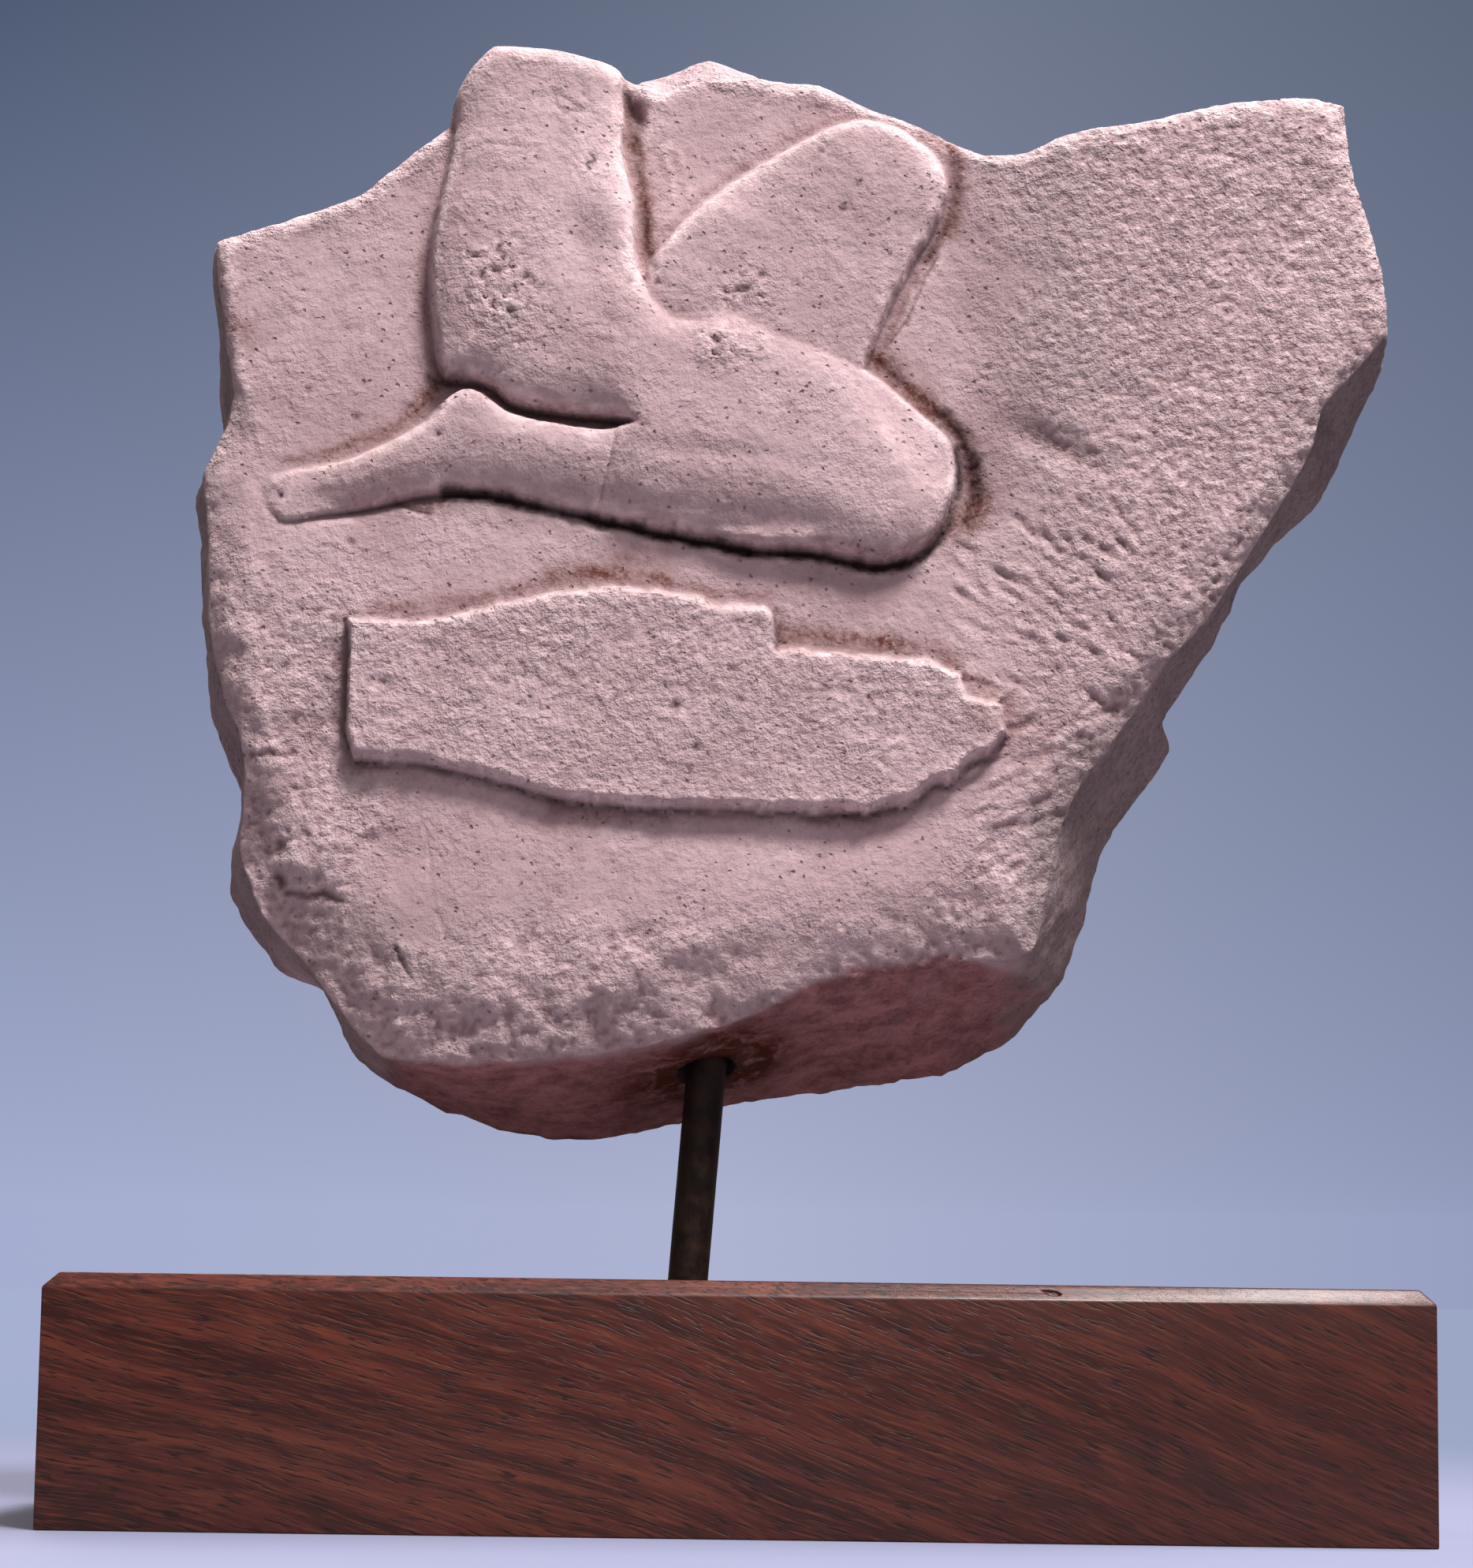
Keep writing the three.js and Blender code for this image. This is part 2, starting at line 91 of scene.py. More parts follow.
def paint(code: str) -> tuple[float, float, float, float]:
    """A colour code such as c8afaf as the linear colour that shaders take."""
    parts = [int(code[i : i + 2], 16) / 255 for i in (0, 2, 4)]
    linear = [c / 12.92 if c <= 0.04045 else ((c + 0.055) / 1.055) ** 2.4 for c in parts]
    return (linear[0], linear[1], linear[2], 1.0)


# ---- repeatable noise ---------------------------------------------------------------------


def scramble(cell: np.ndarray, seed: int) -> np.ndarray:
    """Whole numbers that look random, one for each lattice cell.

    Args:
        cell: Lattice cells, with their whole-number coordinates along the last axis.
        seed: Chooses the pattern.

    Returns:
        Numbers from 0 to 2**32 - 1.
    """
    h = np.full(cell.shape[:-1], seed * 2654435761 & 0xFFFFFFFF, np.int64)
    for axis, prime in enumerate((73856093, 19349663, 83492791)[: cell.shape[-1]]):
        h ^= (cell[..., axis].astype(np.int64) * prime) & 0xFFFFFFFF
    h ^= h >> 16
    h = (h * 0x7FEB352D) & 0xFFFFFFFF
    h ^= h >> 15
    h = (h * 0x446CA68B) & 0xFFFFFFFF
    return h ^ (h >> 16)


def ripple(points: np.ndarray, seed: int) -> np.ndarray:
    """Gradient noise of about -1 to 1 with a wavelength of one unit, in two or three axes."""
    base = np.floor(points).astype(np.int64)
    part = points - base
    ease = part**3 * (part * (part * 6 - 15) + 10)
    axes = points.shape[1]
    total = np.zeros(len(points))
    for corner in range(2**axes):
        step = np.array([corner >> axis & 1 for axis in range(axes)])
        h = scramble(base + step, seed)
        weight = np.prod(np.where(step == 1, ease, 1 - ease), axis=1)
        slope = sum(
            ((h >> 10 * axis & 1023) / 511.5 - 1) * (part[:, axis] - step[axis]) for axis in range(axes)
        )
        total += weight * slope
    return 1.5 * total


def rough(points: np.ndarray, wave: float, octaves: int, seed: int, keep: float = 0.5) -> np.ndarray:
    """Layered noise of about -1 to 1.

    Args:
        points: Places in millimetres, two or three coordinates each.
        wave: The longest wavelength.
        octaves: How many layers, each half as long as the one before.
        seed: Chooses the pattern.
        keep: Height of each layer against the one before.

    Returns:
        One number for each place.
    """
    total, strength, reach = np.zeros(len(points)), 1.0, 0.0
    for layer in range(octaves):
        total += strength * ripple(points * (2**layer / wave) + 17.3 * layer, seed + layer)
        reach += strength
        strength *= keep
    return total / reach


def pebbles(points: np.ndarray, size: float, seed: int) -> tuple[np.ndarray, np.ndarray]:
    """Distance to the nearest of scattered centres, and a random share for each centre.

    Args:
        points: Places in millimetres, two or three coordinates each.
        size: Spacing of the centres.
        seed: Chooses the pattern.

    Returns:
        The distance in units of size, and a number from 0 to 1 that is the centre's own.
    """
    scaled = points / size
    base = np.floor(scaled).astype(np.int64)
    axes = points.shape[1]
    nearest, own = np.full(len(points), 9.0), np.zeros(len(points))
    for corner in range(3**axes):
        step = np.array([corner // 3**axis % 3 - 1 for axis in range(axes)])
        cell = base + step
        h = scramble(cell, seed)
        away = sum(
            (cell[:, axis] + (h >> 10 * axis & 1023) / 1023 - scaled[:, axis]) ** 2 for axis in range(axes)
        )
        closer = away < nearest
        nearest = np.where(closer, away, nearest)
        own = np.where(closer, (h >> 5 & 4095) / 4095, own)
    return np.sqrt(nearest), own


# ---- lines and outlines on the carved face ------------------------------------------------


def eased_line(points: Points, closed: bool, steps: int = 4) -> np.ndarray:
    """A smooth line through the points, as centripetal Catmull-Rom pieces.

    Args:
        points: The points to pass through.
        closed: Whether the last point joins the first.
        steps: Pieces between two points.

    Returns:
        The line's points in order, without the first repeated.
    """
    p = np.array(points, float)
    count = len(p)
    if not closed:
        p = np.vstack([2 * p[0] - p[1], p, 2 * p[-1] - p[-2]])
    line = []
    for k in range(count if closed else count - 1):
        a, b, c, d = (p[(k + j) % len(p)] for j in ((-1, 0, 1, 2) if closed else (0, 1, 2, 3)))
        t1 = max(np.linalg.norm(b - a), 1e-6) ** 0.5
        t2 = t1 + max(np.linalg.norm(c - b), 1e-6) ** 0.5
        t3 = t2 + max(np.linalg.norm(d - c), 1e-6) ** 0.5
        for j in range(steps):
            t = mix(t1, t2, j / steps)
            ab = (t1 - t) / t1 * a + t / t1 * b
            bc = (t2 - t) / (t2 - t1) * b + (t - t1) / (t2 - t1) * c
            cd = (t3 - t) / (t3 - t2) * c + (t - t2) / (t3 - t2) * d
            abc = (t2 - t) / t2 * ab + t / t2 * bc
            bcd = (t3 - t) / (t3 - t1) * bc + (t - t1) / (t3 - t1) * cd
            line.append((t2 - t) / (t2 - t1) * abc + (t - t1) / (t2 - t1) * bcd)
    if not closed:
        line.append(p[-2])
    return np.array(line)


@dataclass
class Near:
    """How a set of places lies to a line: distance, side and outward direction."""

    distance: np.ndarray
    inside: np.ndarray
    outward: np.ndarray

    @property
    def depth(self) -> np.ndarray:
        """Distance inside a closed outline, negative outside it."""
        return np.where(self.inside, self.distance, -self.distance)

    @property
    def facing_up(self) -> np.ndarray:
        """1 where the nearest edge faces up, -1 where it faces down."""
        return self.outward[:, 1]


class Line:
    """A line or closed outline on the carved face, in X and Z."""

    REACH = 13.0
    CHUNK = 4096

    def __init__(self, points: Points, closed: bool = False, rounded: bool = True) -> None:
        """Keeps the line's points, rounded through them or straight between them."""
        self.closed = closed
        self.path = eased_line(points, closed) if rounded else np.array(points, float)
        self.start = self.path if closed else self.path[:-1]
        self.step = (np.roll(self.path, -1, axis=0) if closed else self.path[1:]) - self.start
        twice_area = np.sum(self.start[:, 0] * self.step[:, 1] - self.start[:, 1] * self.step[:, 0])
        self.turn = 1.0 if twice_area > 0 else -1.0

    def near(self, places: np.ndarray) -> Near:
        """How each place lies to this line. Places beyond REACH count as REACH away."""
        count = len(places)
        found = Near(np.full(count, self.REACH), np.zeros(count, bool), np.zeros((count, 2)))
        low, high = self.path.min(0) - self.REACH, self.path.max(0) + self.REACH
        close = np.nonzero(((places > low) & (places < high)).all(1))[0]
        length2 = (self.step**2).sum(1) + 1e-12
        end_z = self.start[:, 1] + self.step[:, 1]
        for first in range(0, len(close), self.CHUNK):
            rows = close[first : first + self.CHUNK]
            dx = places[rows, None, 0] - self.start[None, :, 0]
            dz = places[rows, None, 1] - self.start[None, :, 1]
            t = np.clip((dx * self.step[:, 0] + dz * self.step[:, 1]) / length2, 0.0, 1.0)
            away = (dx - t * self.step[:, 0]) ** 2 + (dz - t * self.step[:, 1]) ** 2
            best = away.argmin(1)
            nearest = away[np.arange(len(rows)), best]
            found.distance[rows] = np.minimum(np.sqrt(nearest), self.REACH)
            side = self.step[best] / np.sqrt(length2[best])[:, None]
            found.outward[rows] = self.turn * np.column_stack([side[:, 1], -side[:, 0]])
            if self.closed:
                z = places[rows, None, 1]
                spans = (self.start[None, :, 1] > z) != (end_z[None, :] > z)
                slope = self.step[:, 0] / np.where(self.step[:, 1] == 0, 1e-12, self.step[:, 1])
                hits = spans & (dx < dz * slope)
                found.inside[rows] = hits.sum(1) % 2 == 1
        return found

    def rows(self, offsets: tuple[float, ...], spacing: float) -> np.ndarray:
        """Evenly spaced points along the line, moved outward by each of the offsets."""
        path = np.vstack([self.path, self.path[:1]]) if self.closed else self.path
        length = np.concatenate([[0], np.cumsum(np.linalg.norm(np.diff(path, axis=0), axis=1))])
        at = np.arange(0, length[-1], spacing)

        def places(at: np.ndarray) -> np.ndarray:
            """The places at given lengths along the line."""
            return np.column_stack([np.interp(at, length, path[:, axis]) for axis in (0, 1)])

        side = places(at + 0.3) - places(at - 0.3)
        side /= np.linalg.norm(side, axis=1)[:, None] + 1e-9
        outward = self.turn * np.column_stack([side[:, 1], -side[:, 0]])
        return np.vstack([places(at) + offset * outward for offset in offsets])


# ---- shapes and marks of the carved face --------------------------------------------------


@dataclass(frozen=True)
class Oval:
    """A shallow swelling or dip, or a patch of colour, centred at x, z."""

    x: float
    z: float
    rx: float
    rz: float
    height: float = 1.0
    turn: float = 0.0

    def at(self, places: np.ndarray) -> np.ndarray:
        """Its height at each place, falling off as a bell."""
        c, s = math.cos(math.radians(self.turn)), math.sin(math.radians(self.turn))
        dx, dz = places[:, 0] - self.x, places[:, 1] - self.z
        across, up = (c * dx + s * dz) / self.rx, (c * dz - s * dx) / self.rz
        return self.height * np.exp(-(across**2) - up**2)


@dataclass(frozen=True)
class Form:
    """How a limb stands off the background.

    Attributes:
        wall: Height of the steep side at its outline.
        rise: Further rise to its crest.
        edge: Width of its rounded edge.
        crown: Width over which it goes on rising.
        share: Part of the rise that the edge takes.
        wall_up: Width of the steep side where it faces up.
        wall_down: Width of the steep side where it faces down.
        wall_left: Width of the steep side where it faces left.
        under: How much wider its edge is where it faces down.
    """

    wall: float
    rise: float
    edge: float
    crown: float
    share: float
    wall_up: float = 1.5
    wall_down: float = 0.6
    wall_left: float = 1.7
    under: float = 0.0

    def height(self, near: Near) -> np.ndarray:
        """Height above the background, given how each place lies to the outline."""
        depth = near.depth
        width = mix(self.wall_down, self.wall_up, smooth(-0.6, 0.9, near.facing_up))
        width = mix(width, self.wall_left, smooth(0.5, 0.95, -near.outward[:, 0]))
        foot = smooth(0.0, 1.0, depth / width)
        left = smooth(0.3, 0.9, -near.outward[:, 0])
        edge = self.edge * (1 + 0.5 * left + self.under * smooth(0.1, -0.8, near.facing_up))
        share = mix(self.share, 0.95, left)
        body = share * arc(depth / edge) + (1 - share) * arc(depth / self.crown)
        return foot * self.wall + self.rise * body * np.clip(depth / width + 0.25, 0, 1) * (depth > 0)


@dataclass(frozen=True)
class Scratch:
    """A cut, crack or incised line on the face.

    Attributes:
        points: Its points, X and Z.
        width: Half its width.
        cut: Its depth, negative for a raised edge.
        dark: How dark it is, 0 to 1: painted shade in the cut, and a painted shadow line where it runs under
            a limb.
        stain_and_shade: How brown it is, 0 to 1.
    """

    points: tuple[tuple[float, float], ...]
    width: float
    cut: float
    dark: float = 0.0
    stain_and_shade: float = 0.0


@dataclass(frozen=True)
class Smear:
    """Brown dirt along a line, mottled, X and Z."""

    points: tuple[tuple[float, float], ...]
    width: float
    strength: float


FRONT_RIM = [
    (-85.2, 200.4), (-76, 203.4), (-63, 208), (-57, 213.1), (-48.8, 220.2), (-48, 224),
    (-45.5, 227.6), (-41.5, 231.6), (-33, 231.2), (-22.5, 229.2), (-18, 226.8), (-14.5, 226),
    (-8.6, 229), (0, 228.8), (10, 227.4), (17.5, 224.2), (27, 220.4), (36.8, 216.2),
    (43.5, 216.9), (49.5, 219.8), (64, 222.4), (75, 225), (89.5, 225.8), (93.6, 224.6),
    (94.4, 216.5), (97, 207), (99.8, 198), (100.3, 188), (95.6, 182), (90.5, 176),
    (88.3, 169), (84.4, 161.6), (79, 152.5), (72, 142.2), (65, 134), (60, 127.5), (57, 122.5),
    (49.5, 110.6), (46.5, 98), (44.5, 89.5), (34, 88), (20, 85.5), (5, 80.5), (-11.5, 75),
    (-30, 72), (-46, 70.5), (-56, 72), (-62, 78), (-68, 86), (-75, 94), (-78.5, 104),
    (-78.5, 118), (-82, 128), (-84.8, 140), (-85.4, 153), (-86.2, 164), (-82.8, 171),
    (-81.8, 176), (-83.8, 187),
]
WIDE_RIM = [
    (-88, 2, 204.5), (-77, 4, 206), (-64, 6, 210), (-58, 6, 215), (-50, 8, 221.5), (-48.6, 8, 225),
    (-45.6, 8, 229), (-41, 6, 233), (-33, 6, 232.6), (-22.5, 4, 231), (-18.5, -10, 230.8),
    (-13.5, -12, 231.6), (-7.5, -12, 233.8), (0.5, -11, 231.6), (10.5, -4, 229.8), (18, 4, 226),
    (27.5, 6, 221), (37.5, 6, 216), (44, 6, 217.4), (50, 6, 220), (64.5, 6, 223), (75.5, 6, 226),
    (90.5, 4, 226.6), (94.8, 2, 225), (97.2, 2, 217), (99.4, 2, 207.5), (102.6, 2, 198.5),
    (103.8, 4, 188), (101.8, 8, 182.5), (98.2, 8, 175), (94.6, 10, 166.5), (87.2, 10, 159.8),
    (80, 10, 150.6), (74.4, 10, 139.5), (68.8, 10, 129.4), (69.8, 10, 125), (66, 10, 119),
    (58.2, 10, 106), (55.4, 12, 96.5), (52, 14, 87), (45, 18, 77.9), (29.6, 18, 70.7),
    (14, 20, 68.6), (-3, 20, 65.4), (-20.8, 20, 60.4), (-37, 20, 61.2), (-51.5, 18, 66),
    (-62.8, 16, 72.3), (-67, 14, 82), (-76.2, 10, 87.4), (-83, 4, 98), (-81.6, 2, 113),
    (-86.6, 2, 126.5), (-88.6, 2, 141), (-88.8, 2, 152), (-89.9, 2, 163), (-87.2, 4, 170.5),
    (-87.4, 6, 177), (-88, 4, 190),
]
NEAR_THIGH = [
    (-47.5, 238), (-24, 238), (-20.3, 222), (-20.5, 215.5), (-18.6, 207), (-17.8, 197),
    (-13.2, 190), (-9, 188.8), (-4.5, 190.3), (4, 187), (15, 182.4), (20.7, 179), (26.3, 174.3),
    (31.2, 170), (32.8, 165.6), (31.6, 159), (28.3, 153.2), (21, 150.4), (10, 153.4), (0, 155),
    (-7, 160), (-13, 167.5), (-19, 171.3), (-31, 172.7), (-37.5, 174), (-42, 177.2),
    (-48.5, 178.4), (-50.6, 186), (-51.5, 194), (-51.2, 202), (-49.7, 210), (-48.3, 220),
]
LOWER_LEG = [
    (-76.4, 161.6), (-72, 163.5), (-64, 165.2), (-56.8, 168.3), (-51.6, 171.5), (-48.4, 175),
    (-44.3, 176.8), (-40.6, 175), (-37, 172.9), (-19, 170.9), (-12, 175), (-4, 181), (8, 180),
    (19, 174.5), (28, 167), (31.2, 158.4), (28.3, 152.9), (21, 149.7), (12.3, 151.3), (0, 152.1),
    (-12.4, 154.1), (-24.7, 156.6), (-37, 159.4), (-44, 160.1), (-52, 159.3), (-60.5, 157.3),
    (-67, 156.4), (-73.8, 155.6),
]
FAR_LEG = [
    (-17.7, 195.6), (-14.6, 200.6), (-10.1, 206), (-2.7, 212), (4, 216.2), (11.6, 220),
    (17, 221.5), (23, 220.2), (28, 216.7), (30.7, 212), (29.8, 206), (24.9, 197), (20.9, 188.8),
    (16, 178), (5, 172), (-12, 176),
]
ROUGHED_SHAPE = [
    (-62.4, 140.3), (-55, 139.7), (-49, 140), (-41, 142), (-31, 144.6), (-20.5, 145.6),
    (-12.2, 145), (-3.6, 142.8), (2.7, 142.8), (4.5, 141.2), (4.5, 136.2), (17, 135.4),
    (29, 134.6), (33.3, 132), (34.2, 129.2), (39.8, 127.8), (40.6, 122.8), (37.6, 119.4),
    (34.6, 118.2), (31.5, 115.2), (29.2, 114.8), (26.8, 112.6), (24.4, 111.6), (19.5, 110.3),
    (14, 110.2), (-16, 110.6), (-28, 111.5), (-39.6, 114.7), (-51, 117.1), (-61, 117.4),
    (-62.5, 121.7),
]

SCRATCHES = (
    # The first two lines run along the underside of the lower leg and round the knee: shallow cuts painted
    # near black as the painted shadow below the limb.
    Scratch(
        ((-48, 160.0), (-43, 160.0), (-37, 159.0), (-24.7, 156.2), (-12.4, 153.7), (0, 151.6)),
        0.85, 1.2, 2.2, 0.2,
    ),
    Scratch(
        ((0, 151.6), (12.3, 150.7), (21, 149.1), (28.4, 152.0), (31.6, 157), (33.0, 163), (32.6, 168)),
        0.75, 1.0, 1.9, 0.2,
    ),
    Scratch(((30.6, 173.6), (34.0, 168.6), (35.0, 162.5)), 1.1, 0.7, 1.1, 1.0),
    Scratch(((34.8, 165.5), (35.3, 161), (33.8, 156.6)), 1.7, 0.9, 1.1, 1.0),
    Scratch(((19.8, 182.4), (24.5, 178.2), (30, 173.4), (33.6, 168.6)), 0.75, 0.5, 0.8, 1.0),
    Scratch(((31.4, 214.5), (32.4, 209.5), (30.8, 204.6), (27.4, 198.6)), 0.8, 0.5, 0.75, 1.0),
    Scratch(
        ((-20.2, 223.4), (-19.6, 219), (-18.2, 212), (-17.1, 206), (-16.6, 200), (-15.6, 196)),
        0.7, 0.4, 0.75, 1.0,
    ),
    Scratch(((-20.1, 223.6), (-19.2, 220.4), (-18.8, 216.4)), 1.0, 0.8, 1.0),
    Scratch(((-50.8, 178.6), (-48.6, 177.4), (-45, 178.2)), 0.7, 0.5, 0.9, 0.4),
    Scratch(((-31.6, 223.9), (-27.2, 220.7), (-31.0, 221.2), (-31.6, 223.9)), 0.35, 0.3, 0.35),
    Scratch(((-25.8, 213.6), (-25.1, 212.6), (-26.4, 212.1), (-25.8, 211.2)), 0.3, 0.5, 1.0),
    Scratch(((-42.5, 215.3), (-34.0, 214.3)), 0.3, 0.15, 0.15),
    Scratch(((-77.0, 118.4), (-74, 118.2), (-70.6, 118.5)), 0.55, 0.7, 0.45, 0.3),
    Scratch(((-72.3, 104.3), (-72.3, 103.2)), 0.7, 1.0, 0.7, 0.4),
    Scratch(((-72.3, 99.2), (-72.0, 98.2)), 0.8, 1.1, 0.8, 0.4),
    Scratch(((-71.2, 97), (-67.8, 96.7), (-65.7, 96.7), (-62.3, 95.4)), 0.45, 0.7, 0.6, 0.3),
    Scratch(((-66.3, 104.5), (-61.2, 104.5)), 0.6, -0.5),
    Scratch(((-60.8, 105.4), (-57.5, 107.2)), 0.6, -0.5),
    Scratch(((-53.9, 88.2), (-52.9, 86.3), (-51.6, 84)), 0.35, 0.8, 0.8),
    Scratch(((-50.5, 109), (-49.2, 105.6), (-48.5, 99.6), (-47.6, 94.4), (-46, 90)), 0.3, 0.2, 0.12),
    Scratch(((-20.9, 171.2), (-21.6, 166), (-23.4, 158.7)), 0.32, 0.35, 0.3, 0.55),
    Scratch(
        ((29.3, 199.6), (27.4, 195.8), (25.6, 191.3), (23.8, 188.1), (21.9, 185.2)),
        0.35, 0.4, 0.3, 0.6,
    ),
    Scratch(((31.6, 210.8), (31.2, 208.2)), 0.4, 0.5, 0.7),
    Scratch(((-2.0, 211.2), (6.0, 215.4)), 0.35, 0.18, 0.12),
    Scratch(((-9.1, 117.0), (-8.7, 115.6), (-9.0, 114.2)), 0.35, 0.45, 0.6),
    Scratch(((4.3, 141.6), (4.4, 138.4), (4.4, 135.6)), 0.4, 0.8, 0.8, 0.3),
    Scratch(((-55.7, 158.5), (-53, 157.4), (-50.2, 156.9)), 0.45, 0.6, 0.7, 0.3),
    Scratch(((-14.2, 216.6), (-12.5, 208.2)), 0.5, -0.25),
    Scratch(((-11.8, 216.4), (-10.2, 208.6)), 0.5, -0.2),
    Scratch(((-20.0, 224.6), (-18.9, 222.8), (-18.4, 220.4)), 1.3, 1.1, 1.1),
    Scratch(((-62.6, 139.4), (-62.7, 130), (-62.6, 121.5)), 0.45, 0.8, 0.55),
    Scratch(((46.2, 158.2), (52.0, 165.0)), 0.6, 0.25),
)
SMEARS = (
    Smear(((-19.6, 219), (-18.0, 212), (-17.2, 207), (-16.6, 200), (-15.8, 196.2)), 1.5, 1.0),
    Smear(((-15.0, 198.6), (-11.2, 205), (-6.5, 210), (-1, 214.2)), 0.6, 0.35),
    Smear(((27, 219.8), (31.5, 216.4), (32.4, 211.2), (31, 203.5)), 1.5, 0.9),
    Smear(((30.4, 204), (26.5, 196.5), (22, 187), (20.2, 182.5)), 0.9, 0.7),
    Smear(
        ((19.8, 182.6), (24, 178.6), (29.5, 173.8), (34, 169), (36, 163.5), (34.8, 158), (31, 154.0)),
        2.1, 1.0,
    ),
    Smear(((34.6, 165.5), (35.8, 160), (34, 156.5)), 2.8, 1.0),
    Smear(((-46.6, 178.9), (-50.2, 176.6), (-53.5, 172.9)), 1.6, 1.0),
    Smear(((-53.5, 172.2), (-58.6, 169.4), (-66, 166.6), (-73, 165)), 0.9, 0.75),
    Smear(((-52.2, 199), (-51.8, 188), (-49.6, 179.6)), 0.8, 0.5),
    Smear(((-51.6, 157.9), (-47.5, 158.4)), 1.4, 0.8),
    Smear(((-31.1, 146.9), (-22.1, 147.9), (-12.5, 146.6)), 1.5, 1.0),
    Smear(((-58, 141.8), (-49, 142.2), (-40, 144.1), (-32, 146.4)), 1.1, 0.6),
    Smear(((-11, 146.2), (-3, 144.6), (3, 144.4)), 0.9, 0.55),
    Smear(((5.4, 138.6), (17.4, 137.4), (28, 136.6), (32.7, 134.4)), 1.4, 1.0),
    Smear(((-22.5, 150.6), (-14, 149.4)), 1.4, 0.45),
    Smear(((-16.2, 156.8), (-11.2, 155.6), (-6.2, 154.2)), 0.8, 0.75),
    Smear(((35.8, 125.6), (42, 124), (45, 120.6)), 2.6, 0.5),
    Smear(((-82.5, 187), (-79.4, 184.6)), 2.2, 0.6),
    Smear(((36, 131), (42, 127.5)), 1.6, 0.4),
    Smear(((-30, 110.4), (-22, 109.2), (-12, 108.8)), 1.1, 0.5),
    Smear(((10, 109.2), (22, 109.4)), 1.1, 0.5),
    Smear(((-22, 185.6), (-19, 184.4)), 0.9, 0.35),
    Smear(((-8.6, 182.4), (-3.4, 181.6)), 1.0, 0.3),
)
LEG_CREST = (
    (-76, 160.3), (-66, 162), (-56, 166), (-49, 170.5), (-43.6, 169.5), (-30, 167.6), (-15, 166), (1, 164.2),
    (12, 160.5), (24, 157.5),
)
"""Where the lower leg stands highest, X and Z."""
BREAK_LINE = (
    (-70, 50), (-60, 66), (-56, 71.5), (-41.4, 70.6), (-18.4, 72.5), (-5.1, 76.4), (8.2, 82.4), (16.7, 86.2),
    (28.8, 88.2), (38.6, 87.9), (50, 85), (70, 70),
)
"""Where the redder broken underside begins, X and Z."""
PITS = (
    (-19.2, 193.2), (-14.9, 193.4), (1.3, 194.8), (-0.5, 192.8), (37.5, 181.6), (-48.9, 168.7),
    (-73.6, 159.2), (16.4, 209.7), (10.7, 215.2), (14.0, 205.6), (-11.1, 126.4), (-7.9, 119.7),
    (-2.2, 132.3), (-56.5, 129.4), (-74.4, 109.4), (-62.4, 152.2), (-14.2, 154.6), (-11.6, 155.1),
    (-9.2, 154.4), (-16.4, 155.9), (-6.0, 153.4), (-69.8, 176.2), (-62.0, 172.2), (-67.1, 141.2),
)
# Single deep pits, each painted dark as painted shade.
"""Single deep pits."""
SWELLINGS = (
    Oval(-26.9, 201.0, 2.6, 4.2, -0.9),
    Oval(-20.9, 205.6, 2.0, 4.4, 0.7),
    Oval(-43.4, 174.6, 4.2, 2.6, 0.9),
    Oval(-11.1, 188.4, 2.2, 1.2, -0.5, 20),
    Oval(-47.5, 219, 2.2, 7.0, -0.9),
    Oval(-6, 165.8, 13, 1.9, -0.7, -5),
    Oval(10, 158.5, 14, 3.0, 0.2, -8),
    Oval(21.5, 168.5, 1.6, 6.0, 0.5, 25),
    Oval(-18.6, 221.6, 1.5, 2.2, -1.6),
    Oval(47.6, 169.4, 7.5, 2.6, -1.9, -24),
    Oval(-24.6, 78.6, 2.6, 1.8, -0.9, 20),
    Oval(-45.2, 74.8, 4.2, 1.9, -1.0, 20),
    Oval(-69.6, 101.2, 2.0, 2.6, 1.0),
    Oval(25.2, 190.6, 1.1, 8.0, 0.3, -24),
)
"""Local forms finer than the solids carry."""
DULL = (Oval(46, 190, 11, 36, 0.5), Oval(-55, 90, 15, 8, 0.45))
# Stretches of the face painted a darker grey-brown: painted shade over the shallow hollow right of the far
# leg, and a duller patch low on the left.
"""Stretches of the face that have gone grey-brown."""
PALE = (Oval(92, 198, 8, 20, 0.8),)
"""Stretches of the face that are rubbed pale."""


class Surface(Enum):
    """How a stretch of stone was left."""

    PECKED = "pecked"
    BROKEN = "broken"
    PITTED = "pitted"


@dataclass
class Marks:
    """What colours the stone at each point: three shares from 0 to 1 and two lengths in millimetres. The
    first share holds brown stains together with painted shade on down-facing walls, the second dark lines
    that are mostly painted shadow and shade.
    """

    stain_and_shade: np.ndarray
    dark: np.ndarray
    grit: np.ndarray
    figure: np.ndarray
    rim_depth: np.ndarray


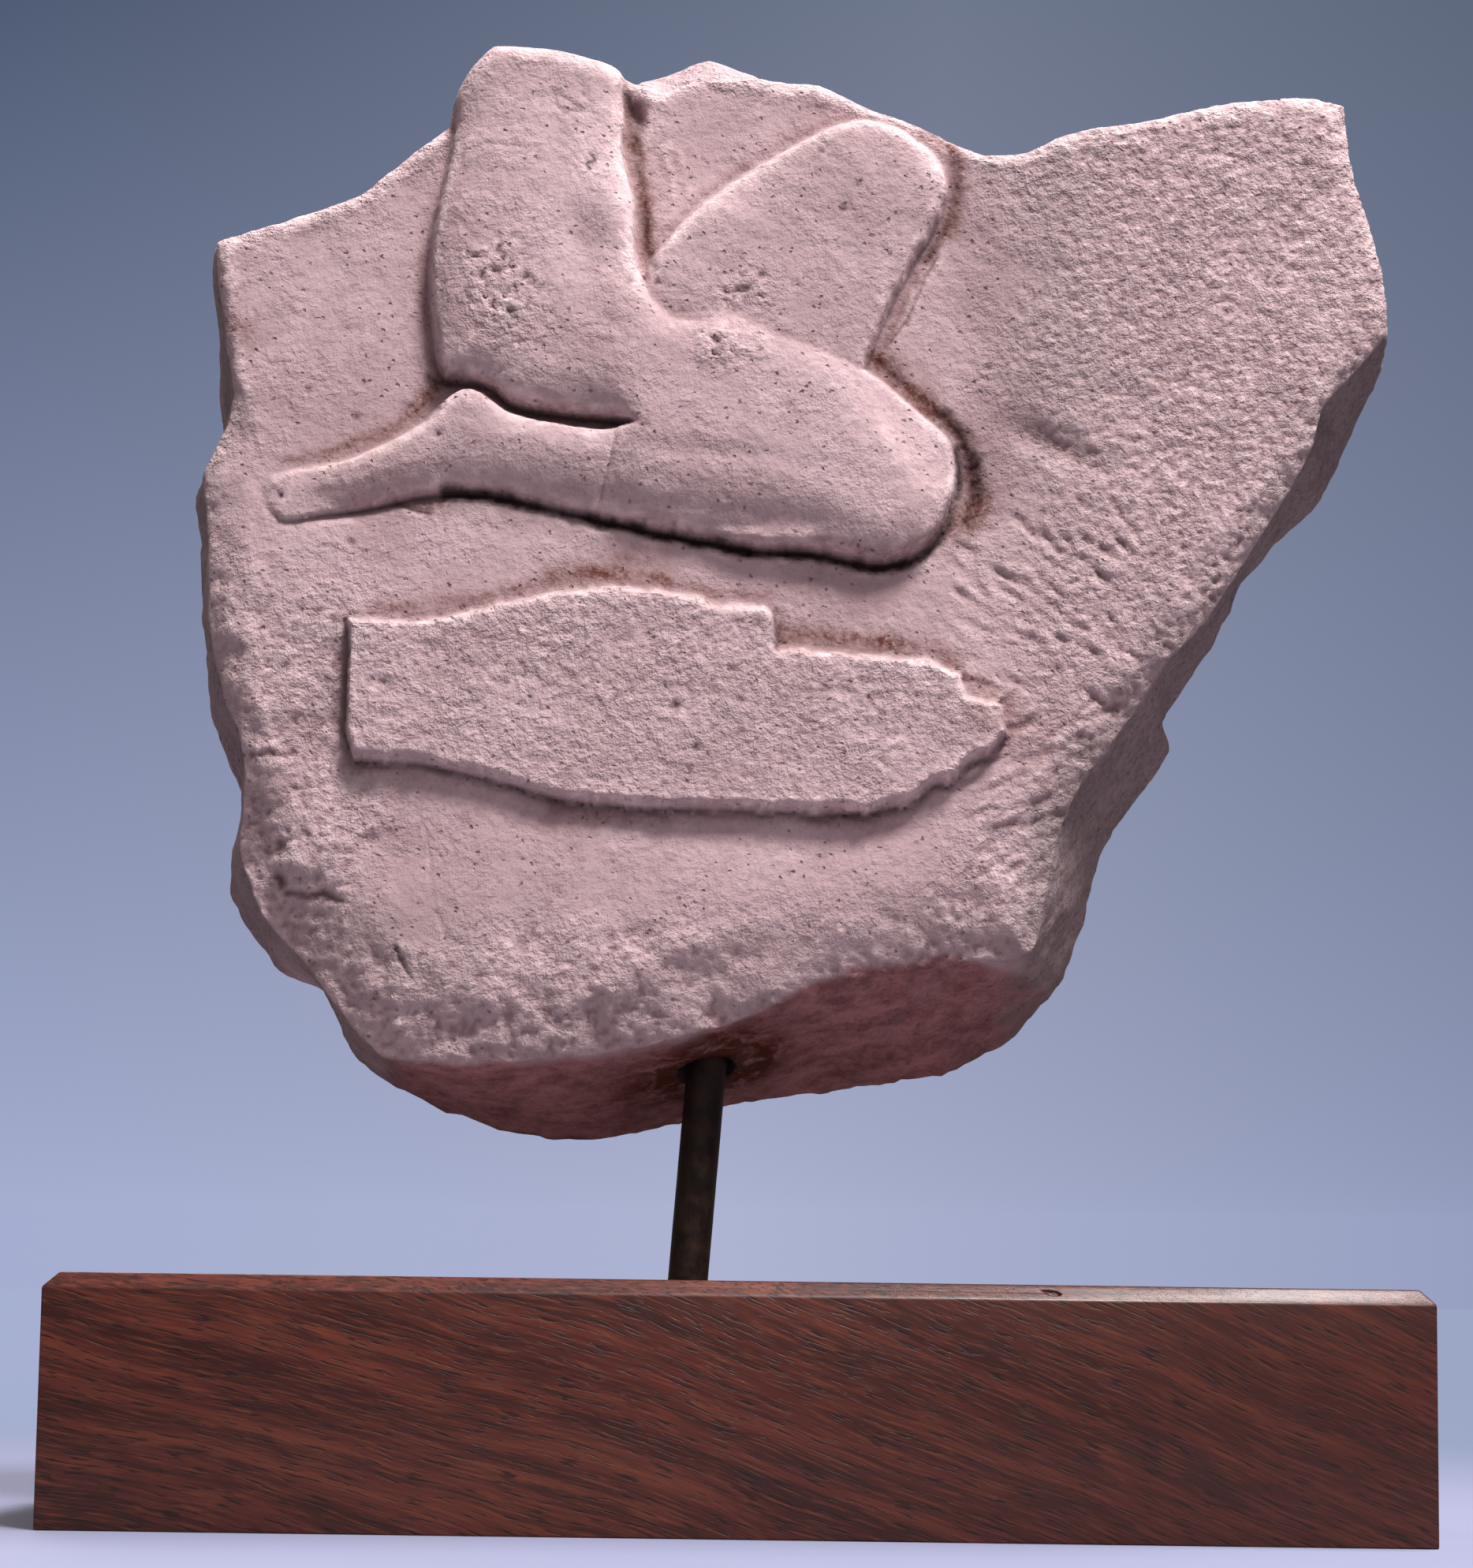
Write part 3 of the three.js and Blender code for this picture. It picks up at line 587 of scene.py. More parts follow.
class CarvedFace:
    """The carved front of the stone, as a height over X and Z above the cut-back background."""

    FACE_Y = -20.0
    UPPER_EDGE = (2.6, 1.6)
    LOWER_EDGE = (18.0, 5.2)
    DIPS = (Oval(36, 164, 7, 12, -1.2), Oval(33, 194, 6, 17, -1.2), Oval(-5, 149, 40, 4, -0.3))
    PITTED = (
        Oval(-39.5, 190.5, 5.5, 8.5, 1.2), Oval(-4.5, 182.6, 5, 2.4), Oval(-1.5, 192, 4, 3),
    )
    STROKES = 115
    GROIN = Oval(-25, 198, 3.5, 5, -0.9)
    FAR_KNEE = Oval(19, 211, 9, 9, 0.8)
    THIGH = Form(1.6, 5.2, 7.0, 17, 0.75, under=0.05)
    LEG = Form(1.6, 3.4, 5, 10, 0.8, wall_up=0.9, wall_left=3.2, under=0.4)
    FAR = Form(1.3, 3.2, 4, 18, 0.7, wall_up=1.8)
    PLATE_RISE = 3.4
    PLATE_WALL = 1.3
    PLATE_LIP = 0.15

    def __init__(self) -> None:
        """Sets out the outlines and lines."""
        self.rim = Line(FRONT_RIM, closed=True, rounded=False)
        self.thigh = Line(NEAR_THIGH, closed=True)
        self.leg = Line(LOWER_LEG, closed=True)
        around = NEAR_THIGH[:17] + LOWER_LEG[17:] + LOWER_LEG[:7] + NEAR_THIGH[26:]
        self.whole_leg = Line(around, closed=True)
        self.far_leg = Line(FAR_LEG, closed=True)
        self.plate = Line(ROUGHED_SHAPE, closed=True, rounded=False)
        self.scratches = [(cut, Line(cut.points)) for cut in SCRATCHES]
        self.smears = [(smear, Line(smear.points)) for smear in SMEARS]

    def background(self, p: np.ndarray, rim_depth: np.ndarray) -> np.ndarray:
        """Height of the cut-back ground, close to that of the solids."""
        x, z = p[:, 0], p[:, 1]
        right_field = 1.6 * smooth(30, 85, x) * smooth(120, 190, z)
        brow = 103 + 3 * lumps(x, z, 60)
        lower_band = 1.5 * smooth(6, -6, z - brow) * smooth(-78, -50, x)
        pocket = -1.2 * smooth(16, 4, np.abs(x + 4)) * smooth(203, 214, z)
        lower_left = 1.6 * smooth(-45, -80, x) * smooth(150, 110, z) * lumps(x, z, 26)
        dips = sum(oval.at(p) for oval in self.DIPS)
        ground = right_field + lower_band + pocket + lower_left + 0.35 * lumps(x, z, 47) + dips
        return ground + self.edge_fall(x, z, rim_depth)

    def edge_fall(self, x: np.ndarray, z: np.ndarray, rim_depth: np.ndarray) -> np.ndarray:
        """How far the ground falls back towards the broken rim."""
        low = smooth(128, 98, z)
        width = mix(self.UPPER_EDGE[0], self.LOWER_EDGE[0], low) + 4 * low * lumps(x, z, 38)
        fall = mix(self.UPPER_EDGE[1], self.LOWER_EDGE[1], low)
        left, right = smooth(-64, -80, x) * smooth(178, 166, z), smooth(38, 50, x) * smooth(176, 150, z)
        side = np.maximum(left, right)
        side *= (1 - low) * (1 + 0.35 * rough(np.column_stack([x, z]), 12, 3, 65))
        width, fall = mix(width, 8.0, side), mix(fall, 3.6, side)
        gone = np.clip(1 - rim_depth / width, 0.0, 3.0)
        return -fall * np.where(gone < 1, gone**2, 1 + 2 * (gone - 1) + 3 * (gone - 1) ** 2)

    def limbs(self, p: np.ndarray, thigh: Near, leg: Near, far: Near) -> np.ndarray:
        """Height of the figure above the ground."""
        x, z = p[:, 0], p[:, 1]
        waist = -1.5 * smooth(200, 226, z)
        thigh_height = self.THIGH.height(thigh) + (waist + self.GROIN.at(p)) * (thigh.depth > 0)
        taper = mix(0.12, 1.0, smooth(-79, -49, x))
        leg_height = self.LEG.height(leg) * taper
        near = soft_max(thigh_height, leg_height, mix(0.05, 2.0, smooth(-23, -14, x)))
        outline = self.whole_leg.near(p)
        whole = self.THIGH.height(outline) + waist
        facet = 2.0 + 0.46 * outline.depth + 0.5 * rough(p, 6, 3, 64)
        knee = smooth(10, 20, x) * smooth(155, 166, z)
        whole = -soft_max(-whole, -mix(whole + 2, facet, knee), 0.9)
        near = mix(near, whole, smooth(-23.5, -16, x) * smooth(196, 186, z))
        crest = np.interp(x, *zip(*LEG_CREST))
        below_crest = np.maximum(soft_max(crest - z, 0.0, 1.2), 0)
        below_crest = below_crest * smooth(22, 8, x) * smooth(152, 156, z)
        near = near - np.minimum(0.23 * below_crest, 1.8) * smooth(0.4, 2.0, near) * smooth(186, 178, z)
        near = np.where((thigh.depth > 0) | (leg.depth > 0), near, 0.0)
        far_height = self.FAR.height(far) + self.FAR_KNEE.at(p) * smooth(0, 2, far.depth)
        return np.maximum(near, far_height)

    def plate_height(self, p: np.ndarray, near: Near) -> np.ndarray:
        """Height of the blocked-out shape: a flat top with sloping sides, coarsely dressed."""
        up = smooth(-0.3, 0.7, near.facing_up)
        side = 1 - np.abs(near.facing_up)
        width = mix(self.PLATE_WALL, 1.25, up) * mix(1.0, 0.6, side)
        ramp = np.clip((near.depth + self.PLATE_LIP) / width, 0, 1)
        dressed = 0.6 * rough(p, 2.6, 3, 51, 0.85) - 0.4 * np.abs(rough(p, 2.2, 2, 52, 0.7)) + 0.1
        uneven = 0.25 * rough(p, 14, 2, 53)
        return ramp * (self.PLATE_RISE + uneven) + dressed * smooth(0.6, 1.2, ramp + 0.2 * up)

    def coarseness(
        self, p: np.ndarray, raised: np.ndarray, rim_depth: np.ndarray
    ) -> dict[Surface, np.ndarray]:
        """How far each place was left pecked, broken or pitted, each from 0 to 1."""
        x, z = p[:, 0], p[:, 1]
        wander = rough(p, 25, 2, 14)
        right = smooth(32, 56, x + 9 * wander) * smooth(100, 146, z + 6 * wander)
        lower_left = smooth(-50, -66, x + 4 * wander) * smooth(160, 130, z)
        foot = smooth(97, 88, z + 6 * wander - 0.12 * (x + 20)) * (0.55 + 0.45 * smooth(6, -18, x))
        right_foot = smooth(122, 104, z - 0.9 * (x - 44) + 5 * wander) * smooth(24, 42, x)
        reach = 4.5 + 6 * smooth(36, 50, x) * smooth(180, 150, z)
        edge = smooth(reach, 0.5, rim_depth + 2.5 * wander)
        seat = sum(oval.at(p) for oval in self.PITTED)
        broken = np.clip(lower_left + foot + right_foot + 0.8 * edge, 0, 1) * (1 - 0.85 * raised)
        return {
            Surface.PECKED: right * (1 - raised),
            Surface.BROKEN: broken,
            Surface.PITTED: np.clip(seat, 0, 1),
        }

    def texture(self, p: np.ndarray, coarse: dict[Surface, np.ndarray]) -> np.ndarray:
        """Fine unevenness left by tools, breaks and weather."""
        x, z = p[:, 0], p[:, 1]
        slanted = np.column_stack([0.75 * x + 0.45 * z, 1.25 * z - 0.35 * x])
        grain = rough(p, 2.4, 2, 11, 0.6)
        pecks = rough(slanted, 2.0, 3, 12, 0.8)
        creases = np.abs(rough(slanted, 2.2, 2, 13, 0.7))
        height = 0.12 * grain + 0.34 * rough(p, 9, 3, 20)
        pitting = rough(p, 2.3, 3, 16, 0.8)
        height -= 0.55 * smooth(0.3, 0.62, pitting) * smooth(-0.25, 0.3, rough(p, 16, 2, 22))
        height += coarse[Surface.PECKED] * (0.68 * pecks - 0.7 * creases + 0.15)
        height += coarse[Surface.PITTED] * (0.3 * grain - 1.3 * smooth(0.02, 0.4, pitting))
        mounds, share = pebbles(p + 1.8 * np.column_stack([grain, pecks]), 7.0, 17)
        crumbly = 1.5 * rough(p, 9, 4, 18, 0.62) - 0.55 * creases + 1.3 * (0.5 - mounds) * (0.3 + share)
        return height + coarse[Surface.BROKEN] * crumbly

    def strokes(self, p: np.ndarray) -> np.ndarray:
        """Short soft chisel marks to the right of the figure."""
        dice = np.random.default_rng(7)
        total = np.zeros(len(p))
        for _ in range(self.STROKES):
            x, z = dice.uniform(33, 60), dice.uniform(100, 160)
            turn = dice.normal(-32, 11) if z > 128 else dice.normal(32, 14)
            length, width = dice.uniform(1.2, 3.4), dice.uniform(0.4, 0.8)
            total += Oval(x, z, length, width, -dice.uniform(0.15, 0.6), turn).at(p)
            total += Oval(x + 0.3, z + 1.1, length, width, 0.16, turn).at(p)
        return total

    def shape(self, p: np.ndarray) -> tuple[np.ndarray, Marks]:
        """Height and marks of the face.

        Args:
            p: Places on the face, X and Z.

        Returns:
            The height above the background plane, and what colours each place.
        """
        rim = self.rim.near(p)
        sway = np.column_stack([rough(p, 3.4, 3, 61, 0.6), rough(p, 3.4, 3, 62, 0.6)])
        bent, patchy = p + 0.75 * sway, np.clip(0.8 + 0.9 * rough(p, 7, 4, 63, 0.6), 0.25, 1.15)
        thigh, leg, far = (line.near(p + 0.35 * sway) for line in (self.thigh, self.leg, self.far_leg))
        plate = self.plate.near(p + 0.8 * sway)
        rim_depth = rim.depth
        figure_depth = np.maximum(np.maximum(thigh.depth, leg.depth), far.depth)
        open_ground = smooth(0.25, -0.1, np.maximum(figure_depth, plate.depth))
        figure = self.limbs(p, thigh, leg, far)
        raised = np.clip(figure / 2, 0, 1)
        ground = self.background(p, rim_depth)
        trench, dark = np.zeros(len(p)), np.zeros(len(p))
        # Each outline gets a trench in the ground; where its edge faces down, the trench is also painted dark
        # as the painted shadow below the limb.
        for near, deep, wide in ((thigh, 0.7, 0.9), (leg, 0.7, 0.9), (far, 0.3, 0.8), (plate, 0.5, 0.8)):
            down = smooth(0.1, -0.7, near.facing_up)
            gully = np.exp(-((np.minimum(near.depth, 0) / (wide * (0.55 + 0.6 * patchy))) ** 2)) * open_ground
            trench = np.maximum(trench, deep * (0.25 + 0.9 * down) * gully)
            dark = np.maximum(dark, gully**1.5 * down)
        dark *= 0.25 + 0.9 * np.clip(rough(p, 14, 3, 32) + 0.3, 0, 1)
        toe = smooth(-77, -62, p[:, 0])
        dark, trench = dark * toe, trench * mix(0.4, 1.0, toe)
        coarse = self.coarseness(p, raised, rim_depth)
        height = ground - trench + figure + self.texture(p, coarse) + self.strokes(p) * (1 - raised)
        height += sum(oval.at(p) for oval in SWELLINGS)
        top = self.plate_height(p, plate)
        on_top = np.maximum(height, np.maximum(top, height - 0.5 * top))
        height = np.where(plate.depth > -self.PLATE_LIP, on_top, height)
        stain_and_shade = np.zeros(len(p))
        for cut, line in self.scratches:
            bell = np.exp(-((line.near(bent).distance / cut.width) ** 2)) * patchy
            height -= cut.cut * bell
            dark = np.maximum(dark, np.clip(0.8 * cut.dark * bell, 0, 1))
            stain_and_shade = np.maximum(stain_and_shade, cut.stain_and_shade * bell)
        # Each pit is cut in and painted dark: painted shade in the pit.
        for x, z in PITS:
            bell = Oval(x, z, 0.6, 0.45).at(bent) * patchy
            height -= 0.7 * bell
            dark = np.maximum(dark, 0.75 * bell)
        mottle = 0.66 + 0.8 * rough(p, 6, 3, 31, 0.5)
        for smear, line in self.smears:
            bell = np.exp(-((line.near(bent).distance / smear.width) ** 2))
            stain_and_shade = np.maximum(stain_and_shade, smear.strength * np.clip(bell * mottle * 1.25, 0, 1))
        stain_and_shade *= 1 - 0.85 * np.clip(figure / 1.6, 0, 1)
        # Painted shade: the down-facing walls of the thigh, lower leg and blocked-out shape are painted
        # brown, where they turn from the light.
        for near, strength in ((thigh, 0.6), (leg, 0.3), (plate, 0.12)):
            wall = smooth(1.5, 0.5, near.depth) * (near.depth > -0.4) * smooth(-0.1, -0.8, near.facing_up)
            wall *= smooth(2.2, 1.2, np.maximum(figure_depth, plate.depth))
            stain_and_shade = np.maximum(stain_and_shade, strength * wall * patchy * toe)
        grit = np.clip(0.3 + 0.9 * sum(coarse.values()) + 0.6 * (plate.depth > 1), 0, 1)
        return height, Marks(stain_and_shade, dark, grit, figure, rim_depth)


# ---- meshes -------------------------------------------------------------------------------


def linked(name: str, data: bpy.types.ID) -> bpy.types.Object:
    """A new object that holds the data, linked into the scene."""
    made = bpy.data.objects.new(name, data)
    bpy.context.scene.collection.objects.link(made)
    return made


def make_object(name: str, places: np.ndarray, faces: list | np.ndarray) -> bpy.types.Object:
    """A mesh object from places in millimetres, linked into the scene, shaded smooth."""
    mesh = bpy.data.meshes.new(name)
    rows = faces.tolist() if isinstance(faces, np.ndarray) else faces
    mesh.from_pydata((np.asarray(places) * MM).tolist(), [], rows)
    mesh.shade_smooth()
    return linked(name, mesh)


def places_of(mesh: bpy.types.Mesh) -> np.ndarray:
    """A mesh's points in millimetres."""
    flat = np.zeros(len(mesh.vertices) * 3, np.float32)
    mesh.vertices.foreach_get("co", flat)
    return flat.reshape(-1, 3).astype(float) / MM


def normals_of(mesh: bpy.types.Mesh) -> np.ndarray:
    """The outward direction at each of a mesh's points."""
    flat = np.zeros(len(mesh.vertices) * 3, np.float32)
    mesh.vertex_normals.foreach_get("vector", flat)
    return flat.reshape(-1, 3).astype(float)


def edges_of(mesh: bpy.types.Mesh) -> np.ndarray:
    """The two ends of each of a mesh's edges."""
    flat = np.zeros(len(mesh.edges) * 2, np.int32)
    mesh.edges.foreach_get("vertices", flat)
    return flat.reshape(-1, 2)


def relaxed(places: np.ndarray, edges: np.ndarray, rounds: int) -> np.ndarray:
    """Places moved towards the middle of their neighbours, again and again."""
    ends = np.concatenate([edges[:, 0], edges[:, 1]])
    others = np.concatenate([edges[:, 1], edges[:, 0]])
    count = np.maximum(np.bincount(ends, minlength=len(places)), 1)[:, None]
    for _ in range(rounds):
        total = np.column_stack(
            [np.bincount(ends, weights=places[others, axis], minlength=len(places)) for axis in range(3)]
        )
        places = 0.5 * places + 0.5 * total / count
    return places


def write_mark(mesh: bpy.types.Mesh, name: str, values: np.ndarray) -> None:
    """Stores one number for each of a mesh's points, for its material to read."""
    mesh.attributes.new(name, "FLOAT", "POINT").data.foreach_set("value", values.astype(np.float32))


def cut_with(piece: bpy.types.Object, cutter: bpy.types.Object) -> None:
    """Takes the closed cutter out of the closed piece, and removes the cutter."""
    modifier = piece.modifiers.new("cut", "BOOLEAN")
    modifier.operation, modifier.solver, modifier.object = "DIFFERENCE", "MANIFOLD", cutter
    evaluated = piece.evaluated_get(bpy.context.evaluated_depsgraph_get())
    mesh = bpy.data.meshes.new_from_object(evaluated)
    piece.modifiers.clear()
    old, piece.data = piece.data, mesh
    bpy.data.meshes.remove(old)
    bpy.data.objects.remove(cutter)


class Spaced:
    """Places on the face kept a given distance apart, the first to come kept."""

    def __init__(self, apart: float) -> None:
        """Starts with no places."""
        self.apart = apart
        self.cells: dict[tuple[int, int], list[tuple[float, float]]] = {}
        self.kept: list[tuple[float, float]] = []

    def take(self, places: np.ndarray, clear: float | None = None, block: bool = True) -> None:
        """Keeps those of the places that have no kept place within clear of them."""
        clear2 = (clear or self.apart) ** 2
        for x, z in places.tolist():
            i, j = int(x // self.apart), int(z // self.apart)
            near = (
                place
                for a in (i - 1, i, i + 1)
                for b in (j - 1, j, j + 1)
                for place in self.cells.get((a, b), ())
            )
            if any((x - u) ** 2 + (z - w) ** 2 < clear2 for u, w in near):
                continue
            self.kept.append((x, z))
            if block:
                self.cells.setdefault((i, j), []).append((x, z))


def staggered(low: np.ndarray, high: np.ndarray, step: float, stray: float, seed: int) -> np.ndarray:
    """A lattice of triangles over a box of X and Z, its places strayed a little.

    Args:
        low: The box's lower corner.
        high: Its upper corner.
        step: Distance between neighbours.
        stray: How far they stray, in steps.
        seed: Chooses which way each strays.

    Returns:
        The places, row by row.
    """
    rows = np.arange(low[1], high[1], step * math.sqrt(3) / 2)
    x, z = np.meshgrid(np.arange(low[0], high[0], step), rows)
    x = x + step / 2 * (np.arange(len(rows)) % 2)[:, None]
    lattice = np.column_stack([x.ravel(), z.ravel()])
    return lattice + stray * step * (np.random.default_rng(seed).random(lattice.shape) - 0.5)


def filled(places: list, rim: int) -> tuple[np.ndarray, np.ndarray]:
    """Triangles between places, inside the loop that the first of them make.

    Args:
        places: X and Z of each place, the loop's first.
        rim: How many places make the loop.

    Returns:
        The places in use, the loop's first, and the triangles, all anticlockwise.
    """
    border = [(k, (k + 1) % rim) for k in range(rim)]
    flat = [Vector(place) for place in places]
    found, _edges, faces, sources, _es, _fs = delaunay_2d_cdt(flat, border, [], 1, 1e-5)
    triangles = np.array(faces)
    first = np.array([min(source) if source else len(found) * 9 for source in sources])
    used = np.zeros(len(found), bool)
    used[triangles.ravel()] = True
    order = sorted(np.nonzero(used)[0].tolist(), key=lambda k: first[k])
    place = np.full(len(found), -1)
    place[order] = np.arange(len(order))
    if not (first[order[:rim]] == np.arange(rim)).all():
        raise ValueError("the loop lost a point")
    points, triangles = np.array([tuple(v) for v in found])[order], place[triangles]
    a, b, c = (points[triangles[:, k]] for k in range(3))
    area = (b[:, 0] - a[:, 0]) * (c[:, 1] - a[:, 1]) - (b[:, 1] - a[:, 1]) * (c[:, 0] - a[:, 0])
    triangles[area < 0] = triangles[area < 0][:, ::-1]
    return points, triangles


@dataclass
class RodAxis:
    """The leaning line that the rod, its bore and its hole share."""

    lean_degrees: float = 4.2
    x_at_base_top: float = -8.1
    base_height: float = 38.0
    radius: float = 3.175
    depth_in_base: float = 25.0
    top_height: float = 106.0
    clearance: float = 0.3

    @property
    def bore(self) -> float:
        """Radius of the holes that take the rod."""
        return self.radius + self.clearance

    def turned(self, name: str, profile: Points, sides: int) -> bpy.types.Object:
        """A closed turned shape from radius and distance pairs along the axis."""
        angle = np.arange(sides) * 2 * math.pi / sides
        rings = [(r, d) for r, d in profile if r > 0]
        places = [(r * math.cos(a), r * math.sin(a), d) for r, d in rings for a in angle]
        places += [(0, 0, profile[0][1]), (0, 0, profile[-1][1])]
        faces = []
        for j in range(len(rings) - 1):
            low, high = j * sides, (j + 1) * sides
            for k, after in ((k, (k + 1) % sides) for k in range(sides)):
                faces.append([low + k, low + after, high + after, high + k])
        last = (len(rings) - 1) * sides
        faces += [[(k + 1) % sides, k, len(places) - 2] for k in range(sides)]
        faces += [[last + k, last + (k + 1) % sides, len(places) - 1] for k in range(sides)]
        return make_object(name, self.placed(np.array(places)), faces)

    def placed(self, local: np.ndarray) -> np.ndarray:
        """Places given along the upright axis, moved on to the leaning one."""
        c, s = math.cos(math.radians(self.lean_degrees)), math.sin(math.radians(self.lean_degrees))
        return np.column_stack(
            [
                local[:, 0] * c + local[:, 2] * s + self.x_at_base_top,
                local[:, 1],
                local[:, 2] * c - local[:, 0] * s + self.base_height,
            ]
        )

    def along(self, height: float) -> float:
        """Distance along the axis at which it reaches a height."""
        return (height - self.base_height) / math.cos(math.radians(self.lean_degrees))

    def distance(self, places: np.ndarray) -> np.ndarray:
        """How far each place is from the axis."""
        t = math.tan(math.radians(self.lean_degrees))
        dx = places[:, 0] - self.x_at_base_top - (places[:, 2] - self.base_height) * t
        return np.hypot(dx * math.cos(math.radians(self.lean_degrees)), places[:, 1])


@dataclass
class StoneRelief:
    """The broken slab with its carved face, rough sides and split back."""

    axis: RodAxis
    spacing: float = 0.62
    back_spacing: float = 2.0
    side_rings: int = 36
    front_y: float = -17.0
    back_y: float = 25.0
    middle: tuple[float, float] = (2.0, 148.0)
    mouth_radius: float = 4.8
    mouth_height: float = 71.5
    side_limit: float = 103.9
    top_limit: float = 233.8
    back_limit: float = 26.8
    face: CarvedFace = field(default_factory=CarvedFace)

    def outward(self, places: np.ndarray) -> np.ndarray:
        """The direction away from the middle, in X and Z, for places in three axes."""
        away = places[:, [0, 2]] - np.array(self.middle)
        away /= np.linalg.norm(away, axis=1)[:, None]
        return np.column_stack([away[:, 0], np.zeros(len(away)), away[:, 1]])

    def shrunk(self, ring: np.ndarray, share: float, y: np.ndarray) -> np.ndarray:
        """A ring drawn in towards the middle and set at new depths."""
        return np.column_stack(
            [mix(self.middle[0], ring[:, 0], share), y, mix(self.middle[1], ring[:, 2], share)]
        )

    def rims(self) -> tuple[np.ndarray, np.ndarray]:
        """The front and the widest rim, point for point, broken unevenly all round."""
        front = np.array([(x, self.front_y, z) for x, z in FRONT_RIM])
        wide = np.array(WIDE_RIM, float)
        steps = 24
        lines = []
        for ring in (front, wide):
            pairs = [(ring[k], ring[(k + 1) % len(ring)]) for k in range(len(ring))]
            straight = np.vstack([mix(a, b, j / steps) for a, b in pairs for j in range(steps)])
            lines.append(0.5 * straight + 0.5 * eased_line(ring, True, steps))
        both = (lines[0] + lines[1]) / 2
        length = np.concatenate([[0], np.cumsum(np.linalg.norm(np.roll(both, -1, 0) - both, axis=1))])
        count = 2 * int(length[-1] / self.spacing / 2)
        at = np.arange(count) * length[-1] / count
        rings = []
        for k, line in enumerate(lines):
            closed = np.vstack([line, line[:1]])
            ring = np.column_stack([np.interp(at, length, closed[:, axis]) for axis in range(3)])
            ragged = 0.75 * rough(ring, 7, 4, 71 + k, 0.6) - 0.15
            rings.append(ring + ragged[:, None] * self.outward(ring))
        return rings[0], rings[1]

    def skin(self) -> list[np.ndarray]:
        """Rings of places from the edge of the carved face round to the back."""
        front, wide = self.rims()
        t = np.zeros(len(front))
        reach = wide[:, 1] - front[:, 1]
        for _ in range(6):
            start = front + t[:, None] * (wide - front)
            height, _marks = self.face.shape(start[:, [0, 2]])
            t = np.clip(0.5 * t + 0.5 * (self.face.FACE_Y - height - front[:, 1]) / reach, 0, 0.9)
        start = front + t[:, None] * (wide - front)
        start[:, 1] = np.minimum(self.face.FACE_Y - height, start[:, 1] + 0.4)
        nodes = [start, np.where((t == 0)[:, None], front, start)]
        for share, bulge in ((0.35, 0.25), (0.7, 0.3)):
            node = front + np.maximum(t, share)[:, None] * (wide - front)
            push = bulge * (1 + lumps(node[:, 0] * 2, node[:, 2] * 2, 37)) * (t < share)
            nodes.append(node + push[:, None] * self.outward(node))
        uneven = lumps(wide[:, 0], wide[:, 2], 40)
        nodes += [wide, self.shrunk(wide, 0.985, self.back_y - 5 + uneven)]
        nodes += [self.shrunk(wide, 0.93, self.back_y - 1 + uneven)]
        stack = np.array(nodes)
        length = np.cumsum(np.linalg.norm(np.diff(stack, axis=0), axis=2), axis=0)
        length = np.vstack([np.zeros(len(front)), length])
        rings = []
        close = (0.0, 0.55, 1.15, 1.85)
        for j in range(self.side_rings + 1):
            if j < len(close):
                want = np.full(len(front), close[j])
            else:
                share = (j - len(close) + 1) / (self.side_rings - len(close) + 1)
                want = mix(close[-1], length[-1], share)
            ring = np.zeros_like(start)
            for part in range(len(nodes) - 1):
                span = np.maximum(length[part + 1] - length[part], 1e-9)
                inside = (want >= length[part] - 1e-9) & (want <= length[part + 1] + 1e-9)
                share = np.clip((want - length[part]) / span, 0, 1)[:, None]
                ring = np.where(inside[:, None], mix(stack[part], stack[part + 1], share), ring)
            ring = self.roughened(ring, want) if j else ring
            rings.append(ring)
        return rings

    def roughened(self, ring: np.ndarray, travelled: np.ndarray) -> np.ndarray:
        """A ring of the side pushed in and out as stone breaks, less near the carved face."""
        grown = smooth(0.0, 3.5, travelled)
        shifted = ring + 1.5 * np.column_stack([rough(ring, 9, 2, 81 + k) for k in range(3)])
        facets, own = pebbles(shifted, 11, 83)
        push = 1.5 * rough(ring, 12, 4, 84, 0.62) + 1.6 * (0.5 - facets) * own + 0.3 * rough(ring, 2.6, 2, 85)
        scoop = 0.8 * rough(ring, 6, 3, 86, 0.5)
        out = self.outward(ring)
        return ring + (grown * (push - 0.3) * 0.9)[:, None] * out + (grown * scoop)[:, None] * (0, 1, 0)

    def front_mesh(self, loop: np.ndarray) -> tuple[np.ndarray, np.ndarray]:
        """Points and triangles of the carved face inside a loop of X and Z."""
        spaced = Spaced(0.3)
        spaced.take(loop)
        for line in (self.face.thigh, self.face.leg, self.face.far_leg, self.face.plate):
            spaced.take(line.rows((0.15, -0.35, -0.85), 0.42), 0.26)
        for cut, line in self.face.scratches:
            spaced.take(line.rows((0.0, -cut.width, cut.width), 0.4), 0.24)
        lattice = staggered(loop.min(0), loop.max(0), self.spacing, 0.16, 3)
        spaced.take(lattice, 0.29, block=False)
        return filled(spaced.kept, len(loop))

